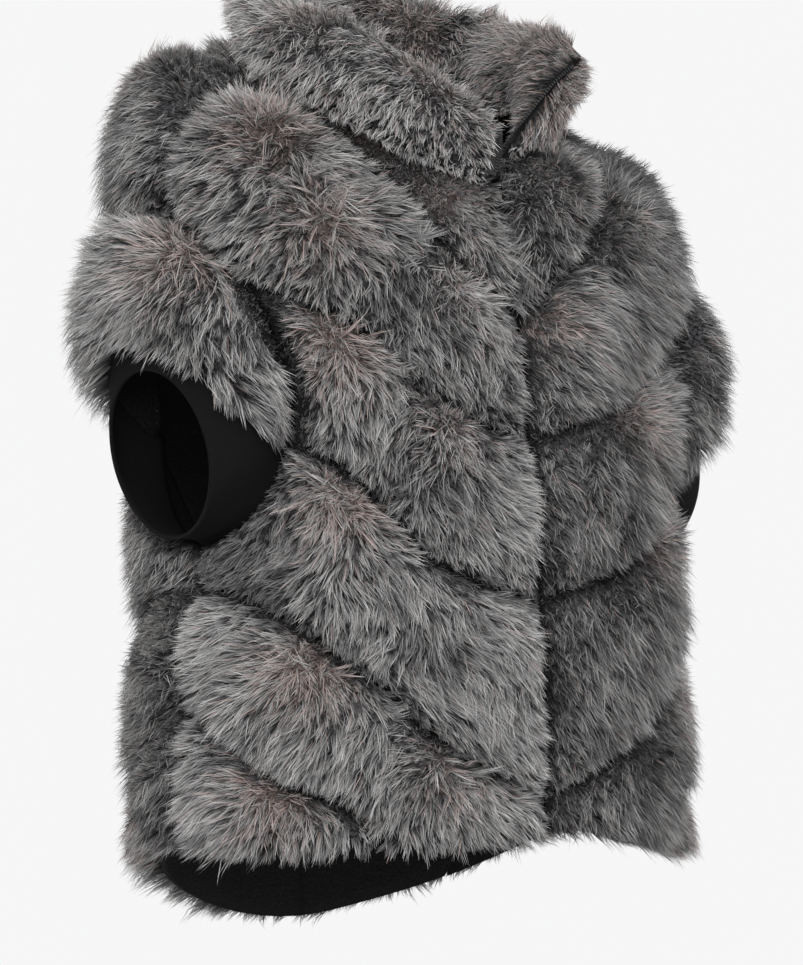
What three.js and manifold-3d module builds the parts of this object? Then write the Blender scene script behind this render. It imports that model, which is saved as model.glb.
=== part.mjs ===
// Long-pile fur vest, worn form, zipped at the front, with chevron strips,
// an open funnel collar, fur cap sleeves and black jersey underarm insets.
// Millimetres, +Z up, front towards -Y, the wearer's right at -X.
// The origin is the middle of the neck base, level with the shoulders.

import * as THREE from 'three';
import Module from 'manifold-3d';

const wasm = await Module();
wasm.setup();

// Main sizes
const PILE = 38;
const CAP_PILE = 40;
const SEAM_GAP = 0.3;
const SEAM_DEPTH = 0.58;
const ZIP_HALF_GROOVE = 4.5;
const ARMHOLE_GAP = 1.5;
const ARMHOLE_HALF_ANGLE = 34;
const ARMHOLE_LEVEL = 1.5;
const ARMHOLE_HALF_LEVEL = 0.5;
const NECK_LEVEL = 3;
const JERSEY = 2.4;
const TAPE_THICK = 1.2;
const TAPE_GAP = 0.9;
const TAPE_WIDTH = 13;

const FUR_LIGHT = 0x77777c;
const FUR_DARK = 0x5b5b61;
const JERSEY_BLACK = 0x0d0d0f;
const TAPE_BLACK = 0x141416;
const METAL_DARK = 0x55565a;

// Inner wall of the body, one ring a row, from the hem to the neck base.
// Levels 1 and 2 are the lowest and highest points of the armholes.
const RINGS = [
  // level, front z, side z, back z, half width, front depth, back depth, front power, back power
  [0.0, -546, -556, -640, 197, 160, 146, 2.3, 2.3],
  [0.33, -476, -483, -540, 195, 158, 147, 2.3, 2.3],
  [0.67, -404, -408, -436, 192, 155, 149, 2.3, 2.3],
  [1.0, -336, -338, -338, 190, 150, 151, 2.3, 2.3],
  [1.25, -296, -286, -283, 194, 145, 154, 2.25, 2.35],
  [1.5, -254, -226, -224, 199, 139, 152, 2.2, 2.4],
  [1.75, -212, -160, -160, 207, 133, 151, 2.15, 2.45],
  [2.0, -170, -100, -94, 213, 127, 150, 2.1, 2.5],
  [2.2, -148, -62, -52, 203, 123, 148, 2.05, 2.55],
  [2.4, -124, -36, -14, 181, 120, 142, 2.05, 2.5],
  [2.7, -85, -15, 14, 134, 113, 114, 2.05, 2.3],
  [3.0, -48, 0, 26, 80, 106, 78, 2.05, 2.1],
];

// Seams as angle from the centre front in degrees against level or height.
const SEAM_1 = [[0, 2.06], [20, 2.38], [35, 2.56], [60, 2.68], [90, 2.7], [120, 2.62], [150, 2.4], [180, 2.12]];
const SEAM_2_FRONT = [[0, 1.49], [24, 1.62], [38, 1.79], [61, 1.84], [90, 1.86]];
const SEAM_2_BACK = [[0, 1.49], [24, 1.62], [38, 1.79], [61, 1.84], [90, 1.86]];
const SEAM_3_FRONT_Z = [[0, -376], [27, -344], [38, -303], [46, -281], [62, -264], [90, -260]];
const SEAM_3_BACK_Z = [[0, -384], [27, -354], [38, -314], [46, -288], [62, -266], [90, -260]];
const SEAM_4_FRONT_Z = [[0, -523], [24, -478], [37, -438], [46, -415], [59, -388], [72, -373], [90, -366]];
const SEAM_4_BACK_Z = [[0, -548], [24, -498], [37, -454], [46, -428], [59, -394], [72, -375], [90, -366]];
const SEAM_5_FRONT_Z = [[0, -600], [36, -541], [47, -517], [56, -508], [70, -485], [90, -446]];
const SEAM_5_BACK_Z = [[0, -760], [36, -612], [47, -568], [56, -538], [70, -494], [90, -446]];

// Where the columns and rows of a strip stand, closer together at its edges.
const COLUMNS = [0, 0.06, 0.16, 0.29, 0.43, 0.57, 0.71, 0.84, 0.94, 1];
const ROWS = [0, 0.11, 0.33, 0.64, 0.89, 1];
const SMALL_STRIP_START = 4;

const deg = Math.PI / 180;

const group = new THREE.Group();
const furA = { color: FUR_LIGHT, roughness: 0.95, metalness: 0 };
const furB = { color: FUR_DARK, roughness: 0.95, metalness: 0 };
const jersey = { color: JERSEY_BLACK, roughness: 0.85, metalness: 0 };
const tape = { color: TAPE_BLACK, roughness: 0.8, metalness: 0 };
const metal = { color: METAL_DARK, roughness: 0.35, metalness: 1 };

function clamp(x, low, high) {
  return Math.min(high, Math.max(low, x));
}

function smooth(x) {
  const t = clamp(x, 0, 1);
  return t * t * (3 - 2 * t);
}

function mix(a, b, t) {
  return a + (b - a) * t;
}

// Piecewise monotone curve through [x, y] rows
function curve(rows, x) {
  const n = rows.length;
  if (x <= rows[0][0]) return rows[0][1];
  if (x >= rows[n - 1][0]) return rows[n - 1][1];
  let k = 0;
  while (x > rows[k + 1][0]) k += 1;
  const slope = (i) => (rows[i + 1][1] - rows[i][1]) / (rows[i + 1][0] - rows[i][0]);
  const tangent = (i) => {
    if (i === 0) return slope(0);
    if (i === n - 1) return slope(n - 2);
    const before = slope(i - 1);
    const after = slope(i);
    if (before * after <= 0) return 0;
    return (2 * before * after) / (before + after);
  };
  const h = rows[k + 1][0] - rows[k][0];
  const t = (x - rows[k][0]) / h;
  const t2 = t * t;
  const t3 = t2 * t;
  return (
    (2 * t3 - 3 * t2 + 1) * rows[k][1] +
    (t3 - 2 * t2 + t) * h * tangent(k) +
    (3 * t2 - 2 * t3) * rows[k + 1][1] +
    (t3 - t2) * h * tangent(k + 1)
  );
}

const columnTables = [1, 2, 3, 4, 5, 6, 7, 8].map((c) => RINGS.map((row) => [row[0], row[c]]));

function ring(level) {
  return columnTables.map((rows) => curve(rows, level));
}

// Point of the inner wall at an angle (degrees from the centre front, positive
// towards +X) and a level
function wall(angle, level) {
  const [zFront, zSide, zBack, width, front, back, frontPower, backPower] = ring(level);
  const s = Math.sin(angle * deg);
  const c = Math.cos(angle * deg);
  const power = c > 0 ? frontPower : backPower;
  const r = 1 / (Math.abs(s) ** power + Math.abs(c) ** power) ** (1 / power);
  const zEnd = c > 0 ? zFront : zBack;
  const depth = c > 0 ? front : back;
  return new THREE.Vector3(width * r * s, -depth * r * c, mix(zSide, zEnd, c * c));
}

function wallNormal(angle, level) {
  const e = 0.4;
  const f = 0.01;
  const low = clamp(level - f, 0, NECK_LEVEL);
  const high = clamp(level + f, 0, NECK_LEVEL);
  const around = wall(angle + e, level).sub(wall(angle - e, level));
  const up = wall(angle, high).sub(wall(angle, low));
  return around.cross(up).normalize();
}

// Level of the inner wall at an angle and a height
function levelAt(angle, z) {
  let low = 0;
  let high = NECK_LEVEL;
  for (let i = 0; i < 40; i += 1) {
    const mid = (low + high) / 2;
    if (wall(angle, mid).z < z) low = mid;
    else high = mid;
  }
  return (low + high) / 2;
}

// Levels that a gap across a seam takes
function levelGap(angle, level) {
  const up = wall(angle, Math.min(level + 0.02, NECK_LEVEL));
  const length = up.distanceTo(wall(angle, Math.min(level + 0.02, NECK_LEVEL) - 0.02)) / 0.02;
  return SEAM_GAP / length;
}

// How the vest settles on its wearer, who holds the right shoulder higher:
// the height that a point gains
const RIGHT_LIFT = 12;
const RIGHT_BACK_LIFT = 30;
const LEFT_DROP = 24;

function settle(x, y, z) {
  const right = smooth((-x - 20) / 130);
  const left = smooth((x - 40) / 130);
  const back = smooth((y + 20) / 90);
  const lift = RIGHT_LIFT * smooth((z + 420) / 200) + RIGHT_BACK_LIFT * back * smooth((z + 150) / 110);
  const drop = LEFT_DROP * (1 - 0.6 * back);
  return right * lift - left * drop;
}

// Closed slab between two grids of points. inner(i, j) and outer(i, j) give
// the points, with i along the columns and j up the rows. A mirrored slab is
// the other hand of the vest, and a reversed one has its columns backwards.
function slab(columns, rows, inner, outer, mirrored, reversed = false, closed = false) {
  const positions = [];
  const index = [];
  const count = closed ? columns : columns + 1;
  const put = (p) => {
    const x = mirrored ? -p.x : p.x;
    positions.push(x, p.y, p.z + settle(x, p.y, p.z));
  };
  for (let i = 0; i < count; i += 1) for (let j = 0; j <= rows; j += 1) put(inner(i, j));
  for (let i = 0; i < count; i += 1) for (let j = 0; j <= rows; j += 1) put(outer(i, j));
  const at = (layer, i, j) => layer * count * (rows + 1) + (i % count) * (rows + 1) + j;
  const quad = (a, b, c, d) => {
    if (mirrored !== reversed) index.push(a, c, b, a, d, c);
    else index.push(a, b, c, a, c, d);
  };
  for (let i = 0; i < columns; i += 1) {
    for (let j = 0; j < rows; j += 1) {
      quad(at(1, i, j), at(1, i + 1, j), at(1, i + 1, j + 1), at(1, i, j + 1));
      quad(at(0, i, j), at(0, i, j + 1), at(0, i + 1, j + 1), at(0, i + 1, j));
    }
    quad(at(0, i, 0), at(0, i + 1, 0), at(1, i + 1, 0), at(1, i, 0));
    quad(at(0, i, rows), at(1, i, rows), at(1, i + 1, rows), at(0, i + 1, rows));
  }
  if (!closed) {
    for (let j = 0; j < rows; j += 1) {
      quad(at(0, 0, j), at(1, 0, j), at(1, 0, j + 1), at(0, 0, j + 1));
      quad(at(0, columns, j), at(0, columns, j + 1), at(1, columns, j + 1), at(1, columns, j));
    }
  }
  const geometry = new THREE.BufferGeometry();
  geometry.setAttribute('position', new THREE.Float32BufferAttribute(positions, 3));
  geometry.setIndex(index);
  geometry.computeVertexNormals();
  return geometry;
}

function add(name, geometry, look) {
  const mesh = new THREE.Mesh(geometry, new THREE.MeshStandardMaterial(look));
  mesh.name = name;
  group.add(mesh);
  return mesh;
}

// Height of the pile over a strip: full in the middle, low along its seams
function crown(across, along) {
  const a = smooth(Math.min(across, 1 - across) / 0.3);
  const b = smooth(Math.min(along, 1 - along) / 0.12);
  return PILE * (SEAM_DEPTH + (1 - SEAM_DEPTH) * a * (0.35 + 0.65 * b) + 0.08 * b * (1 - a));
}

// The pile gets shorter towards the neck, and on the right the collar that
// rolls over it presses it flat
function neckTaper(angle, level, mirrored) {
  const taper = mix(0.3, 1, smooth((NECK_LEVEL - level) / 0.42));
  if (!mirrored) return taper;
  const free = Math.max(smooth((2.66 - level) / 0.26), smooth((angle - 115) / 40));
  return taper * mix(0.4, 1, free);
}

// Armhole edge: turn 0 at its top, 90 at its front, 180 at its bottom
function armholePoint(turn) {
  return [
    90 - ARMHOLE_HALF_ANGLE * Math.sin(turn * deg),
    ARMHOLE_LEVEL + ARMHOLE_HALF_LEVEL * Math.cos(turn * deg),
  ];
}

function inArmhole(angle, level) {
  const a = (angle - 90) / ARMHOLE_HALF_ANGLE;
  const b = (level - ARMHOLE_LEVEL) / ARMHOLE_HALF_LEVEL;
  return a * a + b * b < 1;
}

function armholeTurn(angle, level) {
  const a = (90 - angle) / ARMHOLE_HALF_ANGLE;
  const b = (level - ARMHOLE_LEVEL) / ARMHOLE_HALF_LEVEL;
  return Math.atan2(a, b) / deg;
}

// The front is side +1 and the back side -1: an angle t from the centre line
// of that half is the angle t or 180 - t from the centre front.
function half(side, t) {
  return side > 0 ? t : 180 - t;
}

function startAngle(side, level) {
  const reach = side > 0 ? ZIP_HALF_GROOVE : SEAM_GAP;
  return Math.asin(reach / ring(level)[3]) / deg;
}

function seamByLevel(rows) {
  return (side, t) => curve(rows, t);
}

function seamByHeight(frontRows, backRows) {
  return (side, t) => levelAt(half(side, t), curve(side > 0 ? frontRows : backRows, t));
}

const seam1 = (side, t) => curve(SEAM_1, half(side, t));
const seam2 = (side, t) => seamByLevel(side > 0 ? SEAM_2_FRONT : SEAM_2_BACK)(side, t);
const seam3 = seamByHeight(SEAM_3_FRONT_Z, SEAM_3_BACK_Z);
const seam4 = seamByHeight(SEAM_4_FRONT_Z, SEAM_4_BACK_Z);
const seam5 = seamByHeight(SEAM_5_FRONT_Z, SEAM_5_BACK_Z);

const armholeTurns = [];

// Where a row ends: at the armhole, or at the side seam
function rowEnd(side, rowLevel) {
  const steps = 180;
  for (let i = 1; i <= steps; i += 1) {
    const t = (90 * i) / steps;
    if (t < 89.9 && inArmhole(half(side, t), rowLevel(t))) {
      let low = (90 * (i - 1)) / steps;
      let high = t;
      for (let k = 0; k < 30; k += 1) {
        const mid = (low + high) / 2;
        if (inArmhole(half(side, mid), rowLevel(mid))) high = mid;
        else low = mid;
      }
      return { t: low, armhole: true };
    }
  }
  const e = wall(89, rowLevel(89)).distanceTo(wall(90, rowLevel(90)));
  return { t: 90 - SEAM_GAP / e, armhole: false };
}

// One strip between two seams, from the centre line to the side or armhole
function strip(side, upper, lower, rows, firstColumn = 0) {
  const grid = rows.map((r) => {
    const level = (t) => {
      const top = upper(side, t) - levelGap(half(side, t), upper(side, t));
      const bottom = lower(side, t) + levelGap(half(side, t), lower(side, t));
      return mix(bottom, top, r);
    };
    const end = rowEnd(side, level);
    const start = startAngle(side, level(2));
    if (end.armhole || Math.abs(level(90) - (ARMHOLE_LEVEL - ARMHOLE_HALF_LEVEL)) < 0.02) {
      armholeTurns.push(armholeTurn(half(side, end.t), level(end.t)));
    }
    return COLUMNS.slice(firstColumn).map((c) => {
      const t = mix(start, end.t, c);
      return [half(side, t), level(t)];
    });
  });
  const span = COLUMNS.slice(firstColumn);
  const first = span[0];
  const inner = (i, j) => wall(...grid[j][i]);
  const outer = (i, j) => {
    const [angle, level] = grid[j][i];
    const along = (span[i] - first) / (1 - first);
    return wall(angle, level).addScaledVector(wallNormal(angle, level), crown(rows[j], along));
  };
  return (mirrored) => slab(span.length - 1, rows.length - 1, inner, outer, mirrored, side < 0);
}

const hem = () => 0;

// Rows of the strip under the armhole: one of them passes its lowest point
function rowsThroughCorner(side) {
  const top = seam3(side, 90);
  const bottom = seam4(side, 90);
  const corner = (ARMHOLE_LEVEL - ARMHOLE_HALF_LEVEL - bottom) / (top - bottom);
  return [0, 0.11, corner, mix(corner, 1, 0.3), mix(corner, 1, 0.62), 0.92, 1];
}

function lowerEdge5(side, t) {
  const start = 90 * COLUMNS[SMALL_STRIP_START] - 0.5;
  return t < start ? 0 : seam5(side, t);
}

const strips = {};
for (const side of [1, -1]) {
  const place = side > 0 ? 'front' : 'back';
  strips[place] = {
    3: strip(side, seam2, seam3, ROWS),
    4: strip(side, seam3, seam4, rowsThroughCorner(side)),
    5: strip(side, seam4, lowerEdge5, ROWS),
    6: strip(side, seam5, hem, [0, 0.2, 0.55, 0.85, 1], SMALL_STRIP_START),
  };
}

// Strip 1 runs from the zip over the shoulder to the centre back, and strip 2
// is cut in two by the shoulder seam
const frontEnd = rowEnd(1, (t) => seam2(1, t) - levelGap(t, seam2(1, t))).t;
const backEnd = rowEnd(-1, (t) => seam2(-1, t) - levelGap(180 - t, seam2(-1, t))).t;
const TOP_TURNS = [-34, -17, 0, 17, 34];
TOP_TURNS.forEach((turn) => armholeTurns.push(turn));

function shoulderColumns(level, part) {
  const front = COLUMNS.map((c) => mix(startAngle(1, level), frontEnd, c));
  const top = TOP_TURNS.map((turn) => armholePoint(turn)[0]).reverse();
  const back = COLUMNS.map((c) => 180 - mix(startAngle(-1, level), backEnd, c)).reverse();
  const columns = [...front, ...top.sort((a, b) => a - b), ...back];
  const gap = SEAM_GAP / wall(91, level).distanceTo(wall(89, level));
  if (part === 'front') return [...columns.filter((angle) => angle < 89), 90 - gap];
  if (part === 'back') return [90 + gap, ...columns.filter((angle) => angle > 91)];
  return columns;
}

function shoulderLower(angle) {
  if (angle <= frontEnd + 1e-6) return seam2(1, angle) + levelGap(angle, seam2(1, angle));
  if (angle >= 180 - backEnd - 1e-6) {
    return seam2(-1, 180 - angle) + levelGap(angle, seam2(-1, 180 - angle));
  }
  const a = (angle - 90) / ARMHOLE_HALF_ANGLE;
  return ARMHOLE_LEVEL + ARMHOLE_HALF_LEVEL * Math.sqrt(Math.max(0, 1 - a * a));
}

function shoulderStrip(upper, lower, rows, part) {
  const grid = rows.map((r) => {
    const level = (angle) => mix(lower(angle), upper(angle), r);
    return shoulderColumns(level(2), part).map((angle) => [angle, level(angle)]);
  });
  const columns = grid[0].length - 1;
  const inner = (i, j) => wall(...grid[j][i]);
  const outer = (mirrored) => (i, j) => {
    const [angle, level] = grid[j][i];
    const high = crown(rows[j], i / columns) * neckTaper(angle, level, mirrored);
    return wall(angle, level).addScaledVector(wallNormal(angle, level), high);
  };
  return (mirrored) => slab(columns, rows.length - 1, inner, outer(mirrored), mirrored);
}

const strip1 = shoulderStrip(
  () => NECK_LEVEL,
  (angle) => seam1(1, angle) + levelGap(angle, seam1(1, angle)),
  [0, 0.13, 0.38, 0.64, 0.87, 1],
  'both',
);
for (const place of ['front', 'back']) {
  strips[place][2] = shoulderStrip(
    (angle) => seam1(1, angle) - levelGap(angle, seam1(1, angle)),
    shoulderLower,
    ROWS,
    place,
  );
}

for (const mirrored of [false, true]) {
  const hand = mirrored ? 'right' : 'left';
  add('strip_1_' + hand, strip1(mirrored), furB);
  for (const place of ['front', 'back']) {
    [2, 3, 4, 5, 6].forEach((n) => {
      add(place + '_strip_' + n + '_' + hand, strips[place][n](mirrored), n % 2 ? furB : furA);
    });
  }
}

// Sleeve: from the armhole edge out to an oval opening
const OPENING = { x: 233, y: -4, z: -274, top: 58, bottom: 57, half: 62, lean: 10 };
const CAP_BULGE = { top: 44, side: 18, bottom: -5 };

function cleanTurns() {
  const wrapped = armholeTurns.map((turn) => ((turn % 360) + 360) % 360).sort((a, b) => a - b);
  const kept = [];
  wrapped.forEach((turn) => {
    if (!kept.length || turn - kept[kept.length - 1] > 2.5) kept.push(turn);
  });
  if (kept.length > 1 && kept[0] + 360 - kept[kept.length - 1] < 2.5) kept.pop();
  return kept;
}

const turns = cleanTurns();

function sleeveStart(turn) {
  const [angle, level] = armholePoint(turn);
  const p = wall(angle, level);
  const centre = wall(90, ARMHOLE_LEVEL);
  centre.x = p.x;
  const inward = centre.sub(p).normalize();
  return p.addScaledVector(inward, ARMHOLE_GAP);
}

function openingPoint(turn) {
  const up = Math.cos(turn * deg);
  const front = Math.sin(turn * deg);
  return new THREE.Vector3(
    OPENING.x + OPENING.lean * up,
    OPENING.y - OPENING.half * front,
    OPENING.z + (up > 0 ? OPENING.top : OPENING.bottom) * up,
  );
}

function sleeveWall(turn, w) {
  const a = sleeveStart(turn);
  const b = openingPoint(turn);
  const up = Math.cos(turn * deg);
  const front = Math.sin(turn * deg);
  const out = new THREE.Vector3(0.56 * Math.max(up, 0), -front, up > 0 ? 0.83 * up : up).normalize();
  const low = smooth(-up / 0.75);
  const side = CAP_BULGE.side * Math.abs(front) * (1 - low);
  const size = CAP_BULGE.top * Math.max(up, 0) ** 1.5 + side + CAP_BULGE.bottom * low;
  const k = a.clone().add(b).multiplyScalar(0.5).addScaledVector(out, size);
  const v = 1 - w;
  return a
    .multiplyScalar(v * v)
    .addScaledVector(k, 2 * v * w)
    .addScaledVector(b, w * w);
}

function sleeveNormal(turn, w) {
  const e = 2;
  const f = 0.02;
  const around = sleeveWall(turn - e, w).sub(sleeveWall(turn + e, w));
  const along = sleeveWall(turn, Math.min(w + f, 1)).sub(sleeveWall(turn, Math.max(w - f, 0)));
  const n = around.cross(along).normalize();
  const centre = sleeveWall(0, w).add(sleeveWall(180, w)).multiplyScalar(0.5);
  if (n.dot(sleeveWall(turn, w).sub(centre)) < 0) n.negate();
  const body = wallNormal(...armholePoint(turn));
  return body.lerp(n, smooth(w / 0.5)).normalize();
}

// How far out the fur of the cap reaches, against the turn from the top
const CAP_HEM = [[0, 0.86], [35, 0.85], [62, 0.78], [82, 0.6], [98, 0.32], [110, 0.1]];

function nearestTurn(target) {
  return turns.reduce((best, turn) => (Math.abs(turn - target) < Math.abs(best - target) ? turn : best));
}

const capFront = nearestTurn(107);
const capBack = nearestTurn(253);
const capTurns = [
  ...turns.filter((turn) => turn >= capBack).map((turn) => turn - 360),
  ...turns.filter((turn) => turn <= capFront),
];

function capReach(turn) {
  const signed = turn > 180 ? turn - 360 : turn;
  return curve(CAP_HEM, Math.abs(signed));
}

const CAP_ROWS = [0, 0.1, 0.28, 0.5, 0.72, 0.9, 1];

function capSleeve(mirrored) {
  const n = capTurns.length - 1;
  const at = (i, j) => [capTurns[i], CAP_ROWS[j] * capReach(capTurns[i])];
  const inner = (i, j) => sleeveWall(...at(i, j));
  const outer = (i, j) => {
    const across = CAP_ROWS[j];
    const a = smooth(Math.min(across / 0.34, (1 - across) / 0.3));
    const b = smooth(Math.min(i, n - i) / (0.14 * n));
    const edge = across > 0.5 ? 0.66 : SEAM_DEPTH;
    const high = CAP_PILE * (edge + (1 - edge) * a * (0.3 + 0.7 * b));
    return sleeveWall(...at(i, j)).addScaledVector(sleeveNormal(...at(i, j)), high);
  };
  return slab(n, CAP_ROWS.length - 1, inner, outer, mirrored);
}

const INSET_ROWS = [0, 0.33, 0.67, 1];

function underarm(mirrored) {
  const at = (i, j) => {
    const turn = turns[i % turns.length];
    const inCap = turn <= capFront || turn >= capBack;
    const start = inCap ? capReach(turn) + 0.02 : 0;
    return [turn, mix(start, 1, INSET_ROWS[j])];
  };
  const inner = (i, j) => sleeveWall(...at(i, j));
  const outer = (i, j) => sleeveWall(...at(i, j)).addScaledVector(sleeveNormal(...at(i, j)), JERSEY);
  return slab(turns.length, INSET_ROWS.length - 1, inner, outer, mirrored, false, true);
}

for (const mirrored of [false, true]) {
  const hand = mirrored ? 'right' : 'left';
  add('cap_sleeve_' + hand, capSleeve(mirrored), furA);
  add('underarm_inset_' + hand, underarm(mirrored), jersey);
}

// Collar: the seam line between its outer and inner fur at five heights, as
// outward and upward steps from the neck base, against the angle round the neck.
const COLLAR_RIGHT = [
  // angle, then outward and up at each quarter of the height
  [0, [0, 0, 6, 16, 23, 22, 44, 3, 58, -31]],
  [45, [0, 0, 7, 22, 24, 35, 48, 18, 66, -20]],
  [90, [0, 0, 6, 26, 20, 45, 43, 34, 60, 4]],
  [135, [0, 0, 5, 24, 15, 44, 31, 50, 47, 38]],
  [180, [0, 0, 5, 24, 14, 42, 25, 55, 36, 61]],
];
const COLLAR_LEFT = [
  [0, [0, 0, 5, 17, 13, 33, 24, 48, 37, 60]],
  [45, [0, 0, 5, 19, 14, 37, 25, 53, 38, 65]],
  [90, [0, 0, 5, 23, 15, 43, 27, 58, 39, 68]],
  [135, [0, 0, 5, 24, 15, 43, 26, 57, 37, 65]],
  [180, [0, 0, 5, 24, 14, 42, 25, 55, 36, 61]],
];
const COLLAR_OPEN = { left: [[0, 0], [1, 36]], right: [[0, 0], [1, 17]] };
const COLLAR_ROWS = [0, 0.1, 0.28, 0.5, 0.72, 0.9, 1];
const OUTER_PILE = [[0, 10], [0.25, 25], [0.5, 29], [0.75, 26], [0.9, 20], [1, 10]];
const RIGHT_OUTER_PILE = [[0, 9], [0.25, 12], [0.5, 13], [0.75, 12], [0.9, 10], [1, 7]];
const INNER_PILE = [[0, 4], [0.25, 14], [0.5, 23], [0.75, 25], [0.9, 21], [1, 11]];
const COLLAR_LIFT = 0.6;

function collarStep(table, angle, k) {
  return curve(table.map(([a, steps]) => [a, steps[k]]), angle);
}

function collarLine(table, angle, s) {
  const outward = curve([0, 1, 2, 3, 4].map((q) => [q / 4, collarStep(table, angle, 2 * q)]), s);
  const upward = curve([0, 1, 2, 3, 4].map((q) => [q / 4, collarStep(table, angle, 2 * q + 1)]), s);
  return [outward, upward];
}

function collarAngles(s, hand) {
  const base = shoulderColumns(NECK_LEVEL);
  const open = curve(COLLAR_OPEN[hand], s);
  return base.map((angle) => open + angle * ((180 - open) / 180));
}

function collarPoint(hand, angle, s, offset) {
  const table = hand === 'right' ? COLLAR_RIGHT : COLLAR_LEFT;
  const e = 0.02;
  const base = wall(angle, NECK_LEVEL);
  const upwardWall = base.clone().sub(wall(angle, NECK_LEVEL - 0.02)).normalize();
  const outDirection = wall(angle + 1, NECK_LEVEL).sub(wall(angle - 1, NECK_LEVEL));
  outDirection.set(outDirection.y, -outDirection.x, 0).normalize();
  const [r, h] = collarLine(table, angle, s);
  const [r0, h0] = collarLine(table, angle, Math.max(0, s - e));
  const [r1, h1] = collarLine(table, angle, Math.min(1, s + e));
  const side = new THREE.Vector3()
    .addScaledVector(outDirection, h1 - h0)
    .add(new THREE.Vector3(0, 0, -(r1 - r0)))
    .normalize();
  const foot = wallNormal(angle, NECK_LEVEL);
  if (offset < 0) foot.copy(upwardWall).negate();
  const direction = foot.lerp(side, smooth(s / 0.25)).normalize();
  return base
    .addScaledVector(upwardWall, COLLAR_LIFT)
    .addScaledVector(outDirection, r)
    .add(new THREE.Vector3(0, 0, h))
    .addScaledVector(direction, offset);
}

function collarPiece(hand, facing) {
  const rows = COLLAR_ROWS.length - 1;
  const columns = shoulderColumns(NECK_LEVEL).length - 1;
  const angle = (i, j) => collarAngles(COLLAR_ROWS[j], hand)[i];
  const edgeFade = (i) => mix(0.42, 1, smooth(i / 3));
  const pile = (i, j) => {
    const s = COLLAR_ROWS[j];
    if (facing < 0) return curve(INNER_PILE, s) * edgeFade(i);
    const full = curve(OUTER_PILE, s);
    if (hand === 'left') return full * edgeFade(i);
    return mix(curve(RIGHT_OUTER_PILE, s), full, smooth((angle(i, j) - 80) / 60)) * edgeFade(i);
  };
  const near = (i, j) => collarPoint(hand, angle(i, j), COLLAR_ROWS[j], facing * 0.2);
  const far = (i, j) => collarPoint(hand, angle(i, j), COLLAR_ROWS[j], facing * pile(i, j));
  return slab(columns, rows, near, far, hand === 'right', facing < 0);
}

add('collar_outer_left', collarPiece('left', 1), furA);
add('collar_outer_right', collarPiece('right', 1), furA);
add('collar_inner_left', collarPiece('left', -1), furB);
add('collar_inner_right', collarPiece('right', -1), furB);

// Zip: two tapes, the closed chain, the box at the hem, the slider and its tab
const ZIP_LEVELS = [0.015, 0.17, 0.33, 0.5, 0.67, 0.83, 1, 1.2, 1.4, 1.6, 1.8, 2, 2.2, 2.4, 2.6, 2.8, 2.93];
const TAPE_NARROW_LEVEL = 2.96;
const CHAIN_HALF = 2.8;
const CHAIN_THICK = 2.6;
const COLLAR_TAPE = [0.02, 0.1, 0.2, 0.35, 0.5, 0.65, 0.8, 0.94];

function angleOfX(x, level) {
  return Math.asin(x / ring(level)[3]) / deg;
}

function ribbon(stations, mirrored) {
  const corner = (i, j, k) => stations[i][2 * k + j];
  const back = (i, j) => corner(i, j, 0);
  const face = (i, j) => corner(i, j, 1);
  return slab(stations.length - 1, 1, back, face, mirrored, true);
}

function tapeStations(hand) {
  const body = [...ZIP_LEVELS, TAPE_NARROW_LEVEL].map((level) => {
    const a = angleOfX(0.5, level);
    const b = angleOfX(level < TAPE_NARROW_LEVEL ? TAPE_WIDTH : 3.2, level);
    const deep = (angle, d) => wall(angle, level).addScaledVector(wallNormal(angle, level), -d);
    return [
      deep(a, TAPE_GAP + TAPE_THICK),
      deep(b, TAPE_GAP + TAPE_THICK),
      deep(a, TAPE_GAP),
      deep(b, TAPE_GAP),
    ];
  });
  const collar = COLLAR_TAPE.map((s) => {
    const edge = collarAngles(s, hand)[0];
    const perDegree = wall(edge + 1, NECK_LEVEL).distanceTo(wall(edge, NECK_LEVEL));
    const near = edge - 0.9 / perDegree;
    const far = edge - Math.min(5.5, (edge - 0.2) * perDegree * 0.8) / perDegree;
    return [
      collarPoint(hand, far, s, -TAPE_THICK / 2),
      collarPoint(hand, near, s, -TAPE_THICK / 2),
      collarPoint(hand, far, s, TAPE_THICK / 2),
      collarPoint(hand, near, s, TAPE_THICK / 2),
    ];
  });
  return [...body, ...collar];
}

add('zip_tape_left', ribbon(tapeStations('left'), false), tape);
add('zip_tape_right', ribbon(tapeStations('right'), true), tape);

const SLIDER_LEVEL = 2.86;
const chainLevels = [0.062, ...ZIP_LEVELS.slice(1, 16)].filter((level) => level < SLIDER_LEVEL - 0.07);
chainLevels.push(SLIDER_LEVEL - 0.075);
const chainStations = chainLevels.map((level) => {
  const p = wall(0, level);
  const n = wallNormal(0, level);
  const at = (x, d) => p.clone().add(new THREE.Vector3(x, 0, 0)).addScaledVector(n, d);
  return [
    at(-CHAIN_HALF, -0.05),
    at(CHAIN_HALF, -0.05),
    at(-CHAIN_HALF, CHAIN_THICK),
    at(CHAIN_HALF, CHAIN_THICK),
  ];
});
add('zip_chain', ribbon(chainStations, false), metal);

function toManifold(geometry) {
  const source = geometry.index ? geometry : geometry.toNonIndexed();
  const p = source.attributes.position;
  const keys = new Map();
  const points = [];
  const triangles = [];
  const order = source.index ? [...source.index.array] : [...Array(p.count).keys()];
  order.forEach((k) => {
    const q = [p.getX(k), p.getY(k), p.getZ(k)].map((x) => Math.round(x * 1e4) / 1e4);
    const key = q.join(',');
    if (!keys.has(key)) {
      keys.set(key, points.length / 3);
      points.push(...q);
    }
    triangles.push(keys.get(key));
  });
  const mesh = new wasm.Mesh({
    numProp: 3,
    vertProperties: new Float32Array(points),
    triVerts: new Uint32Array(triangles),
  });
  return new wasm.Manifold(mesh);
}

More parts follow.
